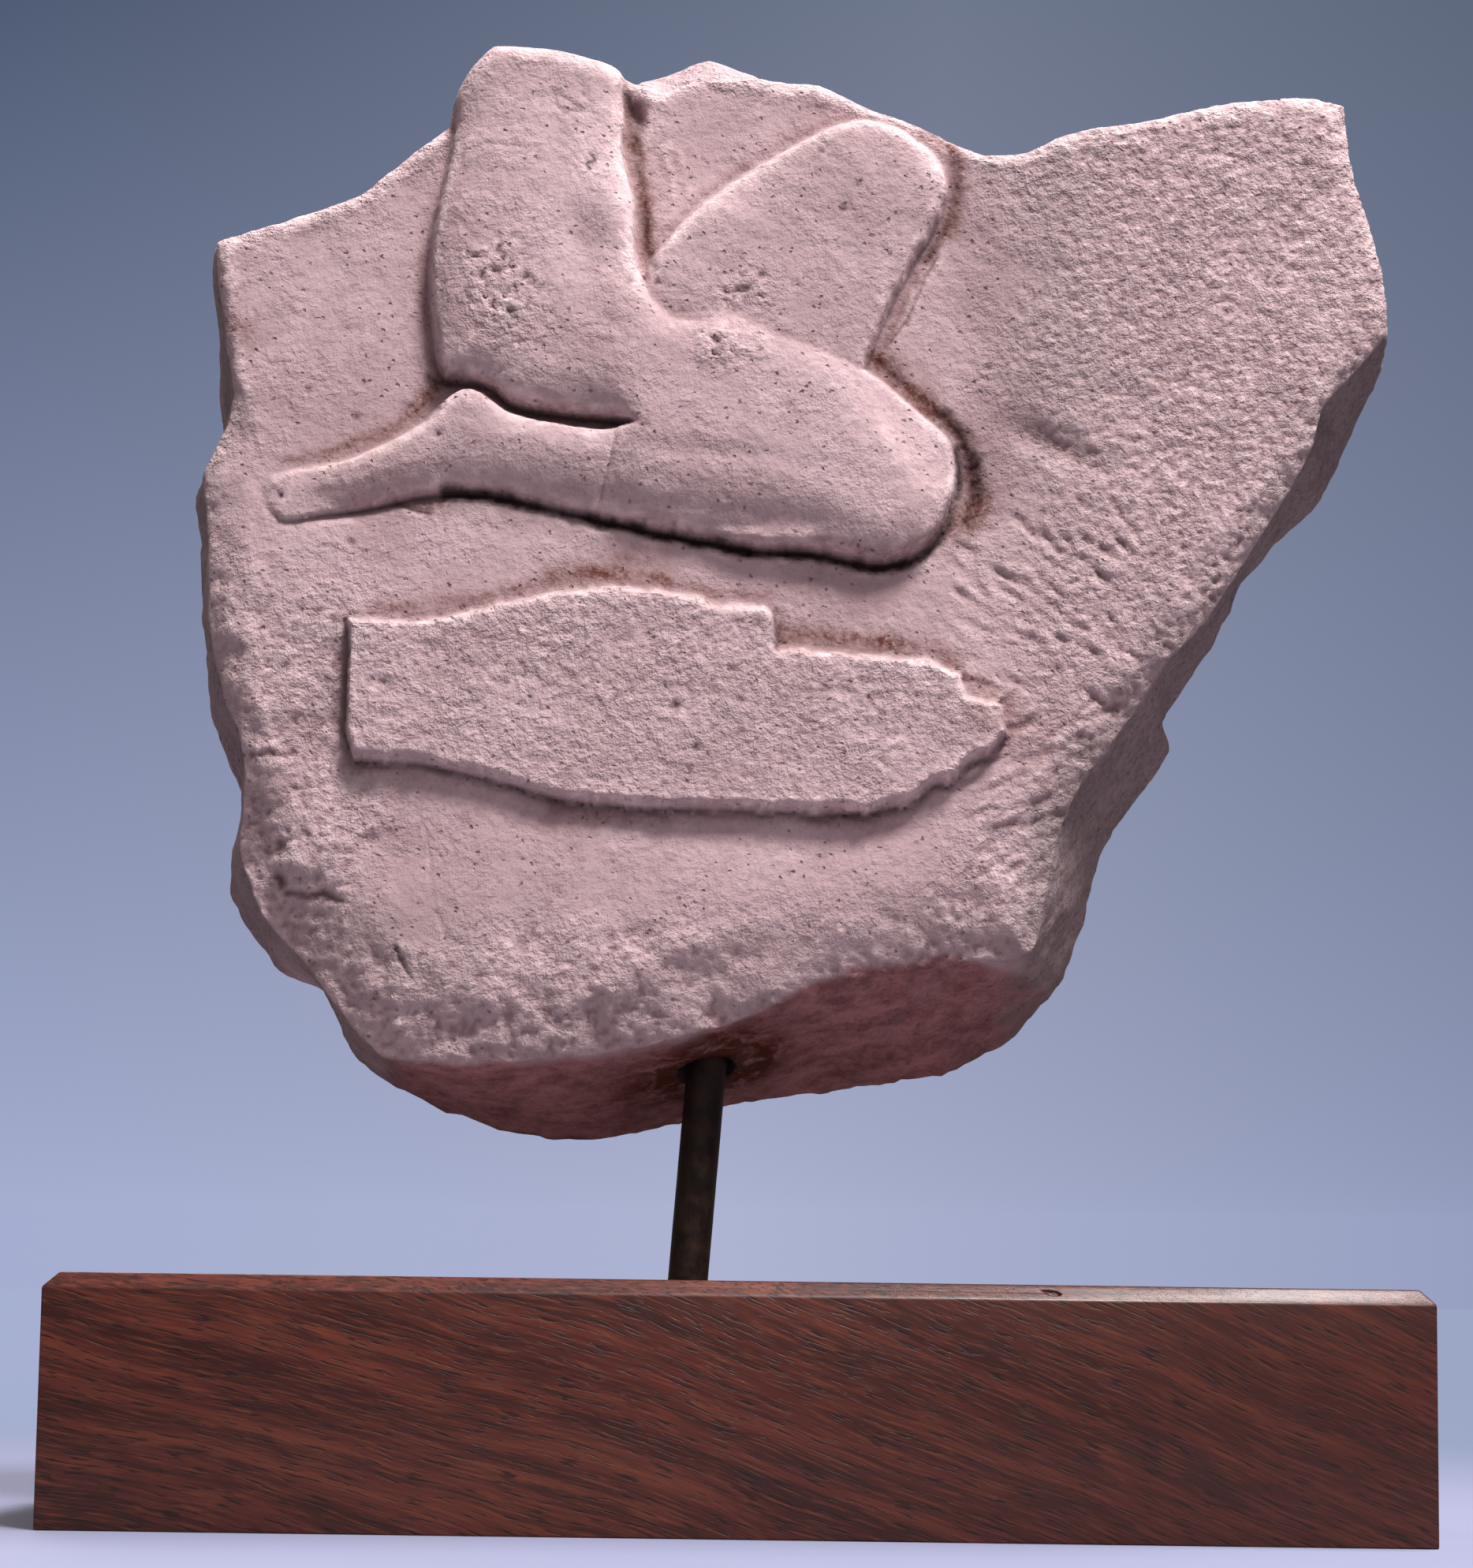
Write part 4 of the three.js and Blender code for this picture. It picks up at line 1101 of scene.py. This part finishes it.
    def back_mesh(self, loop: np.ndarray) -> tuple[np.ndarray, np.ndarray]:
        """Points and triangles of the split back inside its loop, the loop's points first."""
        flat = loop[:, [0, 2]]
        line = Line(flat.tolist(), closed=True, rounded=False)
        lattice = staggered(flat.min(0), flat.max(0), self.back_spacing, 0.3, 4)
        lattice = lattice[line.near(lattice).depth > 0.6 * self.back_spacing]
        places, triangles = filled(np.vstack([flat, lattice]).tolist(), len(flat))
        inner = smooth(0, 9, line.near(places).depth)
        shifted = places + 3 * np.column_stack([rough(places, 20, 2, 91), rough(places, 20, 2, 92)])
        facets, own = pebbles(shifted, 24, 93)
        split = 1.6 * rough(places, 34, 5, 94, 0.6) + 2.6 * (0.5 - facets) * own
        split = split - 0.5 * np.abs(rough(places, 12, 3, 95)) - 0.8
        y = np.zeros(len(places))
        y[: len(loop)] = loop[:, 1]
        edge_y = self.back_y - 0.9 + lumps(places[:, 0], places[:, 1], 40) * (1 - inner)
        y[len(loop) :] = (edge_y + inner * (1.3 + split))[len(loop) :]
        y = np.minimum(y, self.back_limit)
        return np.column_stack([places[:, 0], y, places[:, 1]]), triangles[:, ::-1]

    def build(self) -> bpy.types.Object:
        """The closed mesh of the stone, its rod hole cut, with its marks written on it."""
        rings = self.skin()
        points, front = self.front_mesh(rings[0][:, [0, 2]])
        height, _marks = self.face.shape(points)
        places = [np.column_stack([points[:, 0], self.face.FACE_Y - height, points[:, 1]])]
        places[0][: len(rings[0])] = rings[0]
        faces = [front]
        full = len(rings[0])
        half = full // 2
        above = np.arange(full)
        used = len(points)
        for j, ring in enumerate(rings[1:], 1):
            fine = j < 3
            below = used + np.arange(full if fine else half)
            places.append(ring if fine else ring[::2])
            used += len(below)
            c, d = below, np.roll(below, -1)
            if len(above) == len(below):
                a, b = above, np.roll(above, -1)
                faces += [np.column_stack([a, b, c]), np.column_stack([b, d, c])]
            else:
                first, middle, last = above[::2], above[1::2], np.roll(above[::2], -1)
                fans = ((first, middle, c), (middle, d, c), (middle, last, d))
                faces += [np.column_stack(corners) for corners in fans]
            above = below
        back, cap = self.back_mesh(places[-1])
        joined = np.concatenate([above, used + np.arange(len(back) - half)])
        places.append(back[half:])
        faces.append(joined[cap])
        everything = np.vstack(places)
        everything[:, 0] = np.clip(everything[:, 0], -self.side_limit, self.side_limit)
        everything[:, 2] = np.minimum(everything[:, 2], self.top_limit)
        made = make_object("carved_stone", everything, np.vstack(faces))
        cut_with(made, self.hole())
        self.mark(made.data)
        return made

    def hole(self) -> bpy.types.Object:
        """The drilled hole with its chipped mouth, as a closed shape to cut away."""
        axis, wide = self.axis, self.mouth_radius
        top, mouth = axis.along(axis.top_height) + axis.clearance, axis.along(self.mouth_height)
        start = mouth - 20
        profile = [(0, start), (wide, start), (wide, mouth), (wide - 0.5, mouth + 1.6)]
        profile += [(axis.bore, mouth + 3), (axis.bore, top), (0, top)]
        return axis.turned("hole", profile, 48)

    def mark(self, mesh: bpy.types.Mesh) -> None:
        """Writes where the stone is stained or painted with shade, dark with painted shadow, worn pale,
        painted a darker grey-brown as painted shade, or broken reddish underneath.
        """
        places, normals, edges = places_of(mesh), normals_of(mesh), edges_of(mesh)
        flat = places[:, [0, 2]]
        height, marks = self.face.shape(flat)
        on_face = smooth(1.1, 0.5, np.abs(places[:, 1] - self.face.FACE_Y + height))
        on_face *= np.maximum(smooth(-0.35, -0.6, normals[:, 1]), smooth(-1.2, 0.3, marks.rim_depth))
        fine = ((relaxed(places, edges, 5) - places) * normals).sum(1)
        broad = ((relaxed(places, edges, 30) - places) * normals).sum(1)
        worn = smooth(0.0, -0.16, fine) * on_face
        # Hollows, found from how far each point lies below the middle of its neighbours, are marked for brown
        # grime with painted shade.
        sunk = np.clip(smooth(0.03, 0.16, fine) + 0.6 * smooth(0.12, 0.5, broad), 0, 1) * on_face
        brink = np.interp(places[:, 0], *zip(*BREAK_LINE)) + 1.2 * rough(flat, 7, 3, 34)
        below = smooth(0.6, -0.8, flat[:, 1] - brink) * smooth(0.15, -0.35, normals[:, 2])
        ring = smooth(20, 4.6, self.axis.distance(places) + 3 * rough(places, 9, 3, 33)) * (1 - on_face)
        rust = ring * smooth(95, 80, places[:, 2])
        # Painted shade: the stone just inside the rod hole is painted near black.
        bore = smooth(5.2, 4.6, self.axis.distance(places)) * smooth(112, 108, places[:, 2])
        spotty = np.clip(0.9 + 0.9 * rough(flat, 9, 4, 36, 0.6), 0.3, 1.4)
        pale = sum(oval.at(flat) for oval in PALE) * spotty * on_face
        # Painted shade: sides turned left or right and not up, the face near the lower right rim and the dull
        # stretches are painted a darker grey-brown, where they turn from the light.
        aside = np.maximum(smooth(0.25, 0.65, normals[:, 0]), 0.8 * smooth(-0.25, -0.65, normals[:, 0]))
        right = aside * smooth(0.5, -0.35, normals[:, 2])
        low_right = smooth(7, 0.5, marks.rim_depth + 4 * rough(flat, 12, 3, 35)) * smooth(36, 46, flat[:, 0])
        low_right *= mix(0.35, 1.0, smooth(140, 112, flat[:, 1])) * smooth(190, 170, flat[:, 1])
        off_figure = 1 - np.clip(marks.figure / 1.6, 0, 1)
        dull = sum(oval.at(flat) for oval in DULL) * spotty * on_face * off_figure
        written = {
            "grit": mix(0.8, marks.grit, on_face),
            "stain_and_shade": marks.stain_and_shade * on_face,
            "dark": np.maximum(marks.dark * on_face, bore),
            "sunk": sunk,
            "worn": np.maximum(worn, pale),
            "below": below,
            "rust": rust,
            "aged_and_shaded": np.maximum(np.maximum(right * (1 - on_face), 0.75 * low_right), dull),
        }
        for name, values in written.items():
            write_mark(mesh, name, values)
        LOG.info("carved_stone: %d points, %d faces", len(mesh.vertices), len(mesh.polygons))


@dataclass
class MountRod:
    """The straight dark rod, eased at both ends."""

    axis: RodAxis
    ease: float = 0.5
    rings: int = 60

    def build(self) -> bpy.types.Object:
        """The rod's mesh, very slightly uneven as drawn bar is."""
        radius, ease = self.axis.radius, self.ease
        foot, top = -self.axis.depth_in_base, self.axis.along(self.axis.top_height)
        turns = [math.radians(90 * k / 4) for k in range(5)]
        quarter = [(1 - math.sin(turn), 1 - math.cos(turn)) for turn in turns]
        low, high = foot + ease, top - ease
        profile = [(0, foot)] + [(radius - ease * s, foot + ease * c) for s, c in quarter]
        for k in range(1, self.rings):
            at = low + (high - low) * k / self.rings
            profile.append((radius - 0.012 * (1 + math.sin(at * 0.9) * math.cos(at * 0.37)), at))
        profile += [(radius - ease * c, top - ease * s) for s, c in quarter] + [(0, top)]
        return self.axis.turned("dark_rod", profile, 56)


@dataclass
class WoodenBase:
    """The rectangular block: chamfered top edges, softly eased arrises and a small chip."""

    axis: RodAxis
    width: float = 208.0
    depth: float = 70.0
    chamfer: float = 2.2
    ease: float = 0.3
    chip: tuple[float, float, float] = (46.2, -34.2, 37.2)

    def build(self) -> bpy.types.Object:
        """The block's mesh, bored for the rod."""
        shape, top = bmesh.new(), self.axis.base_height
        for height, inset in ((0, 0), (top - self.chamfer, 0), (top, self.chamfer)):
            for sx, sy in ((-1, -1), (1, -1), (1, 1), (-1, 1)):
                place = (sx * (self.width / 2 - inset), sy * (self.depth / 2 - inset), height)
                shape.verts.new(Vector(place) * MM)
        bmesh.ops.convex_hull(shape, input=shape.verts[:])
        bmesh.ops.dissolve_limit(shape, angle_limit=0.01, verts=shape.verts[:], edges=shape.edges[:])
        bmesh.ops.bevel(
            shape, geom=shape.edges[:], offset=self.ease * MM, segments=3, profile=0.5, affect="EDGES"
        )
        bmesh.ops.triangulate(shape, faces=shape.faces[:])
        mesh = bpy.data.meshes.new("walnut_block")
        shape.to_mesh(mesh)
        shape.free()
        made = linked("walnut_block", mesh)
        bore, bottom = self.axis.bore, -self.axis.depth_in_base - self.axis.clearance
        profile = [(0, bottom), (bore, bottom), (bore, 10), (0, 10)]
        cut_with(made, self.axis.turned("bore", profile, 48))
        cut_with(made, self.chip_shape())
        made.data.shade_smooth()
        made.data.set_sharp_from_angle(angle=math.radians(30))
        return made

    def chip_shape(self) -> bpy.types.Object:
        """A small ragged lens that knocks a chip out of the front chamfer."""
        shape = bmesh.new()
        bmesh.ops.create_icosphere(shape, subdivisions=3, radius=1.0)
        places = np.array([tuple(v.co) for v in shape.verts])
        faces = [tuple(v.index for v in face.verts) for face in shape.faces]
        shape.free()
        places *= 1 + 0.4 * rough(places, 0.9, 3, 5, 0.7)[:, None]
        turned = places * (2.1, 0.75, 0.8)
        c, s = math.cos(-0.35), math.sin(-0.35)
        x, y, z = turned.T
        turned = np.column_stack([x * c - z * s, y, x * s + z * c])
        return make_object("chip", turned + np.array(self.chip), faces)


# ---- finishes -----------------------------------------------------------------------------

Value = float | tuple | bpy.types.NodeSocket


class Graph:
    """Short ways to add shader nodes to a material or world."""

    def __init__(self, tree: bpy.types.NodeTree) -> None:
        """Starts from an empty tree."""
        self.tree = tree
        tree.nodes.clear()

    def node(
        self, kind: str, inputs: dict[str | int, Value] | None = None, **settings: object
    ) -> bpy.types.Node:
        """Adds a node, sets its properties, and sets or links its inputs."""
        made = self.tree.nodes.new("ShaderNode" + kind)
        for name, value in settings.items():
            setattr(made, name, value)
        for name, value in (inputs or {}).items():
            if isinstance(value, bpy.types.NodeSocket):
                self.tree.links.new(value, made.inputs[name])
            else:
                made.inputs[name].default_value = value
        return made

    def math(self, operation: str, a: Value, b: Value = 0.0, clamp: bool = False) -> bpy.types.NodeSocket:
        """The result of one sum on two numbers."""
        return self.node("Math", {0: a, 1: b}, operation=operation, use_clamp=clamp).outputs[0]

    def blend(self, share: Value, a: Value, b: Value) -> bpy.types.NodeSocket:
        """Colour a turned towards colour b by a share."""
        return self.node("Mix", {0: share, 6: a, 7: b}, data_type="RGBA").outputs[2]

    def over(self, colour: Value, code: str, share: Value, by: Value | None = None) -> bpy.types.NodeSocket:
        """A colour with paint laid over it by a share, cut down by another share if given."""
        share = share if by is None else self.math("MULTIPLY", share, by)
        return self.blend(share, colour, paint(code))

    def span(
        self, value: Value, low: float, high: float, to: tuple[float, float] = (0.0, 1.0)
    ) -> bpy.types.NodeSocket:
        """A value moved from one range to another, clamped."""
        inputs = {0: value, 1: low, 2: high, 3: to[0], 4: to[1]}
        return self.node("MapRange", inputs, clamp=True).outputs[0]

    def noise(
        self, at: Value, scale: float, detail: float, roughness: float = 0.55, distortion: float = 0.0
    ) -> bpy.types.NodeSocket:
        """Layered noise from 0 to 1 over a place in millimetres, scale being its repeats in one."""
        inputs = {"Vector": at, "Scale": scale, "Detail": detail, "Roughness": roughness}
        return self.node("TexNoise", {**inputs, "Distortion": distortion}).outputs["Fac"]

    def place(self, scale: tuple[float, float, float] = (1000.0, 1000.0, 1000.0)) -> bpy.types.NodeSocket:
        """The place on the object, in millimetres, stretched along its axes if asked."""
        at = self.node("TexCoord").outputs["Object"]
        return self.node("Mapping", {"Vector": at, "Scale": scale}).outputs[0]

    def mark(self, name: str) -> bpy.types.NodeSocket:
        """A number that the mesh stores at its points."""
        return self.node("Attribute", attribute_name=name).outputs["Fac"]

    def bump(self, height: Value, depth: float) -> bpy.types.NodeSocket:
        """A bumped normal, for a height of 0 to 1 that stands for a depth in millimetres."""
        inputs = {"Height": height, "Distance": depth * MM, "Strength": 1.0}
        return self.node("Bump", inputs).outputs[0]


def material(name: str) -> tuple[bpy.types.Material, Graph]:
    """A new node material and its graph."""
    made = bpy.data.materials.new(name)
    made.use_nodes = True
    return made, Graph(made.node_tree)


@dataclass(frozen=True)
class Limestone:
    """Soft pinkish limestone: brown grime in its cuts, grime and painted shade in its hollows and under its
    limbs, painted shade on its turned-away sides, chalky edges and a redder break below.
    """

    body: str = "c3a9ae"
    light: str = "d9c2c8"
    cool: str = "ab979c"
    chalk: str = "f2dcdf"
    dirt_and_shade: str = "75463c"
    deep: str = "2a1a1a"
    below: str = "c68f90"
    below_dark: str = "8e5a59"
    rust: str = "5c2a16"
    aged_and_shaded: str = "8c7e7e"
    soil: str = "9c7f7b"

    def make(self) -> bpy.types.Material:
        """The finished material."""
        made, graph = material("limestone")
        at = graph.place()
        broad = graph.noise(at, 0.045, 4, 0.6, 0.4)
        patch = graph.noise(at, 0.22, 5, 0.62, 0.3)
        speck = graph.noise(at, 1.6, 3, 0.6)
        colour = graph.blend(graph.span(broad, 0.35, 0.68), paint(self.body), paint(self.light))
        colour = graph.over(colour, self.cool, graph.span(patch, 0.5, 0.8, (0.0, 0.45)))
        colour = graph.over(colour, self.cool, graph.span(speck, 0.52, 0.75, (0.0, 0.4)))
        soil = graph.noise(at, 0.75, 4, 0.75)
        colour = graph.over(colour, self.soil, graph.span(soil, 0.52, 0.74, (0.0, 0.5)))
        colour = graph.over(colour, self.light, graph.span(graph.mark("grit"), 0.45, 1.0, (0.0, 0.4)))
        wear = graph.span(graph.noise(at, 0.3, 4, 0.6), 0.4, 0.62, (0.15, 0.85))
        colour = graph.over(colour, self.chalk, graph.mark("worn"), wear)
        stray = graph.node("TexNoise", {"Vector": at, "Scale": 1.3}).outputs["Color"]
        bent = graph.node("VectorMath", {0: at, 1: stray}).outputs[0]
        cells = graph.node("TexVoronoi", {"Vector": bent, "Scale": 0.55, "Randomness": 1.0})
        pores = graph.span(cells.outputs["Distance"], 0.2, 0.08)
        pore = graph.math("MULTIPLY", pores, graph.span(patch, 0.42, 0.56))
        colour = graph.over(colour, self.dirt_and_shade, pore, 0.5)
        sunk = graph.span(graph.mark("grit"), 0.4, 1.0, (0.2, 0.42))
        # Brown grime and painted shade in the hollows.
        colour = graph.over(colour, self.dirt_and_shade, graph.mark("sunk"), sunk)
        redder = graph.span(graph.noise(at, 0.2, 7, 0.75), 0.4, 0.62)
        reddish = graph.blend(redder, paint(self.below), paint(self.below_dark))
        colour = graph.blend(graph.math("MULTIPLY", graph.mark("below"), 0.93), colour, reddish)
        ring = graph.span(graph.noise(at, 0.3, 4, 0.6, 0.5), 0.28, 0.55, (0.0, 1.4))
        ring = graph.math("MULTIPLY", graph.mark("rust"), ring, clamp=True)
        colour = graph.over(colour, self.rust, ring)
        # Brown stains, with painted shade on the down-facing walls of the limbs in the same mark.
        stain_and_shade = graph.span(graph.noise(at, 1.1, 4, 0.65), 0.3, 0.62, (0.3, 1.15))
        stain_and_shade = graph.math("MULTIPLY", graph.mark("stain_and_shade"), stain_and_shade, clamp=True)
        colour = graph.over(colour, self.dirt_and_shade, stain_and_shade)
        # Painted shade in a darker grey-brown on the turned-away sides, the lower right and the dull
        # stretches, patchy with the soil noise.
        colour = graph.over(colour, self.aged_and_shaded, graph.mark("aged_and_shaded"), graph.span(soil, 0.35, 0.62, (1.0, 0.45)))
        # Near black for the dark mark: painted shadow under the limbs, and painted shade in pits, cuts and
        # the rod hole.
        colour = graph.over(colour, self.deep, graph.mark("dark"), 0.9)
        grains = graph.noise(at, 0.6, 4, 0.68)
        lift = graph.math("MULTIPLY", grains, graph.span(graph.mark("grit"), 0.3, 1.0, (0.42, 1.15)))
        lift = graph.math("MULTIPLY", lift, graph.span(graph.noise(at, 0.12, 3), 0.35, 0.65, (0.6, 1.35)))
        inputs = {
            "Base Color": colour,
            "Normal": graph.bump(graph.math("SUBTRACT", lift, graph.math("MULTIPLY", pore, 0.35)), 1.6),
            "Roughness": graph.span(speck, 0.3, 0.7, (0.82, 0.97)),
            "Specular IOR Level": 0.18,
            "Diffuse Roughness": 0.6,
        }
        shader = graph.node("BsdfPrincipled", inputs)
        graph.node("OutputMaterial", {0: shader.outputs[0]})
        return made


@dataclass(frozen=True)
class DarkMetal:
    """Blackened drawn bar with fine lengthwise marks and brown showing through."""

    body: str = "231b1a"
    brown: str = "3a2a22"

    def make(self) -> bpy.types.Material:
        """The finished material."""
        made, graph = material("dark_rod")
        along = graph.place((2600.0, 2600.0, 60.0))
        drawn = graph.noise(along, 1.0, 3, 0.6)
        patch = graph.noise(graph.place(), 0.35, 4, 0.6)
        colour = graph.blend(graph.span(patch, 0.4, 0.65), paint(self.body), paint(self.brown))
        both = graph.math("ADD", drawn, patch)
        normal = graph.bump(both, 0.03)
        rough_part = graph.span(both, 0.8, 1.25, (0.34, 0.58))
        inputs = {"Base Color": colour, "Normal": normal, "Metallic": 0.55, "Roughness": rough_part}
        shader = graph.node("BsdfPrincipled", inputs)
        graph.node("OutputMaterial", {0: shader.outputs[0]})
        return made


@dataclass(frozen=True)
class Walnut:
    """Oiled walnut: slanting streaks, short dark pores, a satin sheen, and painted shade that darkens it
    towards the right.
    """

    body: str = "572721"
    light: str = "723c2a"
    dark: str = "341614"
    pore: str = "1c0d0c"
    slope: float = 0.33
    bend: float = 0.00065

    def make(self) -> bpy.types.Material:
        """The finished material."""
        made, graph = material("walnut")
        place = graph.node("SeparateXYZ", {0: graph.place()}).outputs
        slanted = graph.math("ADD", place[2], graph.math("MULTIPLY", place[0], self.slope))
        squared = graph.math("MULTIPLY", place[0], place[0])
        slanted = graph.math("ADD", slanted, graph.math("MULTIPLY", squared, self.bend))
        wander = graph.noise(graph.place((18.0, 30.0, 30.0)), 1.0, 2)
        slanted = graph.math("ADD", slanted, graph.math("MULTIPLY", wander, 7.0))
        grain = graph.node("CombineXYZ", {0: place[0], 1: place[1], 2: slanted}).outputs[0]

        def streak(
            along: float, across: float, detail: float, roughness: float = 0.6
        ) -> bpy.types.NodeSocket:
            """Noise drawn out along the grain."""
            stretched = graph.node("Mapping", {"Vector": grain, "Scale": (along, across, across)}).outputs[0]
            return graph.noise(stretched, 1.0, detail, roughness)

        bands, fibres, hairs = streak(0.012, 0.2, 4, 0.65), streak(0.04, 0.7, 4, 0.65), streak(0.12, 2.0, 2)
        colour = graph.blend(graph.span(bands, 0.4, 0.54), paint(self.dark), paint(self.body))
        colour = graph.over(colour, self.light, graph.span(bands, 0.54, 0.72))
        colour = graph.over(colour, self.dark, graph.span(fibres, 0.44, 0.62, (0.0, 0.9)))
        colour = graph.over(colour, self.light, graph.span(hairs, 0.5, 0.7, (0.0, 0.75)))
        # Painted shade: the block is painted darker towards its right end.
        colour = graph.over(colour, self.dark, graph.span(place[0], 5.0, 80.0, (0.0, 0.42)))
        pores = graph.span(streak(0.22, 2.2, 2, 0.5), 0.56, 0.64)
        colour = graph.over(colour, self.pore, pores, 0.8)
        inputs = {
            "Base Color": colour,
            "Normal": graph.bump(graph.math("SUBTRACT", graph.math("MULTIPLY", hairs, 0.2), pores), 0.03),
            "Roughness": graph.span(fibres, 0.3, 0.8, (0.42, 0.56)),
            "Specular IOR Level": 0.32,
            "Coat Weight": 0.18,
            "Coat Roughness": 0.2,
        }
        shader = graph.node("BsdfPrincipled", inputs)
        graph.node("OutputMaterial", {0: shader.outputs[0]})
        return made


# ---- the studio ---------------------------------------------------------------------------


@dataclass
class Studio:
    """The camera, four soft lights, a plain ground behind and a pale floor."""

    lens: float = 88.62
    camera_at: tuple[float, float, float] = (-0.00147, -0.615, 0.037)
    pitch: float = 7.4316
    roll: float = 0.7828
    floor_size: float = 24.0

    def camera(self) -> None:
        """Sets the camera just above the block's top edge, looking slightly up."""
        data = bpy.data.cameras.new("camera")
        data.lens, data.sensor_width = self.lens, 36.0
        made = linked("camera", data)
        p, r = math.radians(self.pitch), math.radians(self.roll)
        ahead = Vector((0, math.cos(p), math.sin(p)))
        right, up = Vector((1, 0, 0)), Vector((0, -math.sin(p), math.cos(p)))
        right, up = math.cos(r) * right + math.sin(r) * up, math.cos(r) * up - math.sin(r) * right
        turn = Matrix((right, up, -ahead)).transposed().to_4x4()
        made.matrix_world = Matrix.Translation(self.camera_at) @ turn
        bpy.context.scene.camera = made

    def area(self, name: str, at: tuple[float, float, float], size: float, power: float, colour: str) -> None:
        """A soft square light that looks at the middle of the stone."""
        data = bpy.data.lights.new(name, "AREA")
        data.size, data.energy, data.color = size, power, paint(colour)[:3]
        made = linked(name, data)
        made.location = at
        made.rotation_euler = (Vector((0, 0, 0.13)) - Vector(at)).to_track_quat("-Z", "Y").to_euler()

    def lights(self) -> None:
        """The key light from the upper right, a weak fill, one from above and one from behind."""
        self.area("key", (0.3, -0.54, 1.08), 0.24, 19.8, "fff8f4")
        self.area("fill", (0.2, -1.2, 1.05), 0.8, 3.2, "fff6f2")
        self.area("top", (0.3, 0.06, 1.2), 0.3, 15.0, "fff6f5")
        self.area("rear", (-0.6, 1.3, 0.9), 0.7, 5.0, "fff4f0")

    def backdrop(self) -> None:
        """A plain blue-grey ground, darker towards the top, with a dimmer even light from it."""
        world = bpy.data.worlds.new("backdrop")
        bpy.context.scene.world = world
        world.use_nodes = True
        graph = Graph(world.node_tree)
        direction = graph.node("SeparateXYZ", {0: graph.node("TexCoord").outputs["Generated"]}).outputs
        side = graph.span(direction[0], -0.19, 0.19)
        height = graph.span(direction[2], 0.02, 0.325)
        top = graph.blend(graph.span(direction[0], -0.19, 0.05), paint("4c5871"), paint("6f788d"))
        top = graph.blend(graph.span(direction[0], 0.05, 0.2), top, paint("5c667b"))
        foot = graph.blend(graph.span(direction[0], -0.19, 0.0), paint("a5aed0"), paint("adb3d1"))
        foot = graph.blend(graph.span(direction[0], 0.0, 0.2), foot, paint("969fc0"))
        curve = graph.math("POWER", height, graph.span(side, 0.0, 1.0, (0.82, 0.6)))
        seen = graph.blend(curve, foot, top)
        is_seen = graph.node("LightPath").outputs["Is Camera Ray"]
        colour = graph.blend(is_seen, paint("6c6162"), seen)
        background = graph.node("Background", {0: colour, 1: 1.0})
        graph.node("OutputWorld", {0: background.outputs[0]})

    def floor(self) -> bpy.types.Object:
        """The pale floor, one flat sheet."""
        half = self.floor_size / 2 / MM
        corners = [(-half, -half, 0), (half, -half, 0), (half, half, 0), (-half, half, 0)]
        made = make_object("floor", np.array(corners), [(0, 1, 2, 3)])
        finish, graph = material("floor_paper")
        patch = graph.noise(graph.place(), 0.02, 3)
        is_seen = graph.node("LightPath").outputs["Is Camera Ray"]
        paper = graph.blend(patch, paint("848aa6"), paint("898faa"))
        colour = graph.blend(is_seen, paint("88868f"), paper)
        inputs = {"Base Color": colour, "Roughness": 0.7, "Specular IOR Level": 0.2}
        shader = graph.node("BsdfPrincipled", inputs)
        across = graph.node("SeparateXYZ", {0: graph.place()}).outputs[0]
        far_colour = graph.blend(graph.span(across, -300.0, 300.0), paint("a7b0d1"), paint("9ba7c5"))
        glow = graph.node("Emission", {0: graph.blend(is_seen, paint("5c5a60"), far_colour), 1: 1.0})
        away = graph.node("VectorMath", {0: graph.place()}, operation="LENGTH").outputs["Value"]
        share = graph.span(away, 160.0, 420.0)
        blend = graph.node("MixShader", {0: share, 1: shader.outputs[0], 2: glow.outputs[0]})
        graph.node("OutputMaterial", {0: blend.outputs[0]})
        made.data.materials.append(finish)
        return made

    def build(self) -> None:
        """Sets up everything round the object."""
        self.camera()
        self.lights()
        self.backdrop()
        self.floor()
        bpy.context.scene.view_settings.view_transform = "Standard"


def place_piece(piece: bpy.types.Object, finish: bpy.types.Material, node: str) -> None:
    """Dresses a piece, rides it on the body, and lets it stand for its solid."""
    piece.data.materials.clear()
    piece.data.materials.append(finish)
    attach(piece, "root")
    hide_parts(node)
    LOG.info("%s stands for %s: %d faces", piece.name, node, len(piece.data.polygons))


def main() -> None:
    """Builds the stand, the stone and the studio, and notes the sizes."""
    logging.basicConfig(level=logging.INFO, format="%(message)s")
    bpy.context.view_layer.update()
    Studio().build()
    axis = RodAxis()
    place_piece(WoodenBase(axis).build(), Walnut().make(), "wooden_base")
    place_piece(MountRod(axis).build(), DarkMetal().make(), "mount_rod")
    place_piece(StoneRelief(axis).build(), Limestone().make(), "stone_relief")


if __name__ == "__main__":
    main()
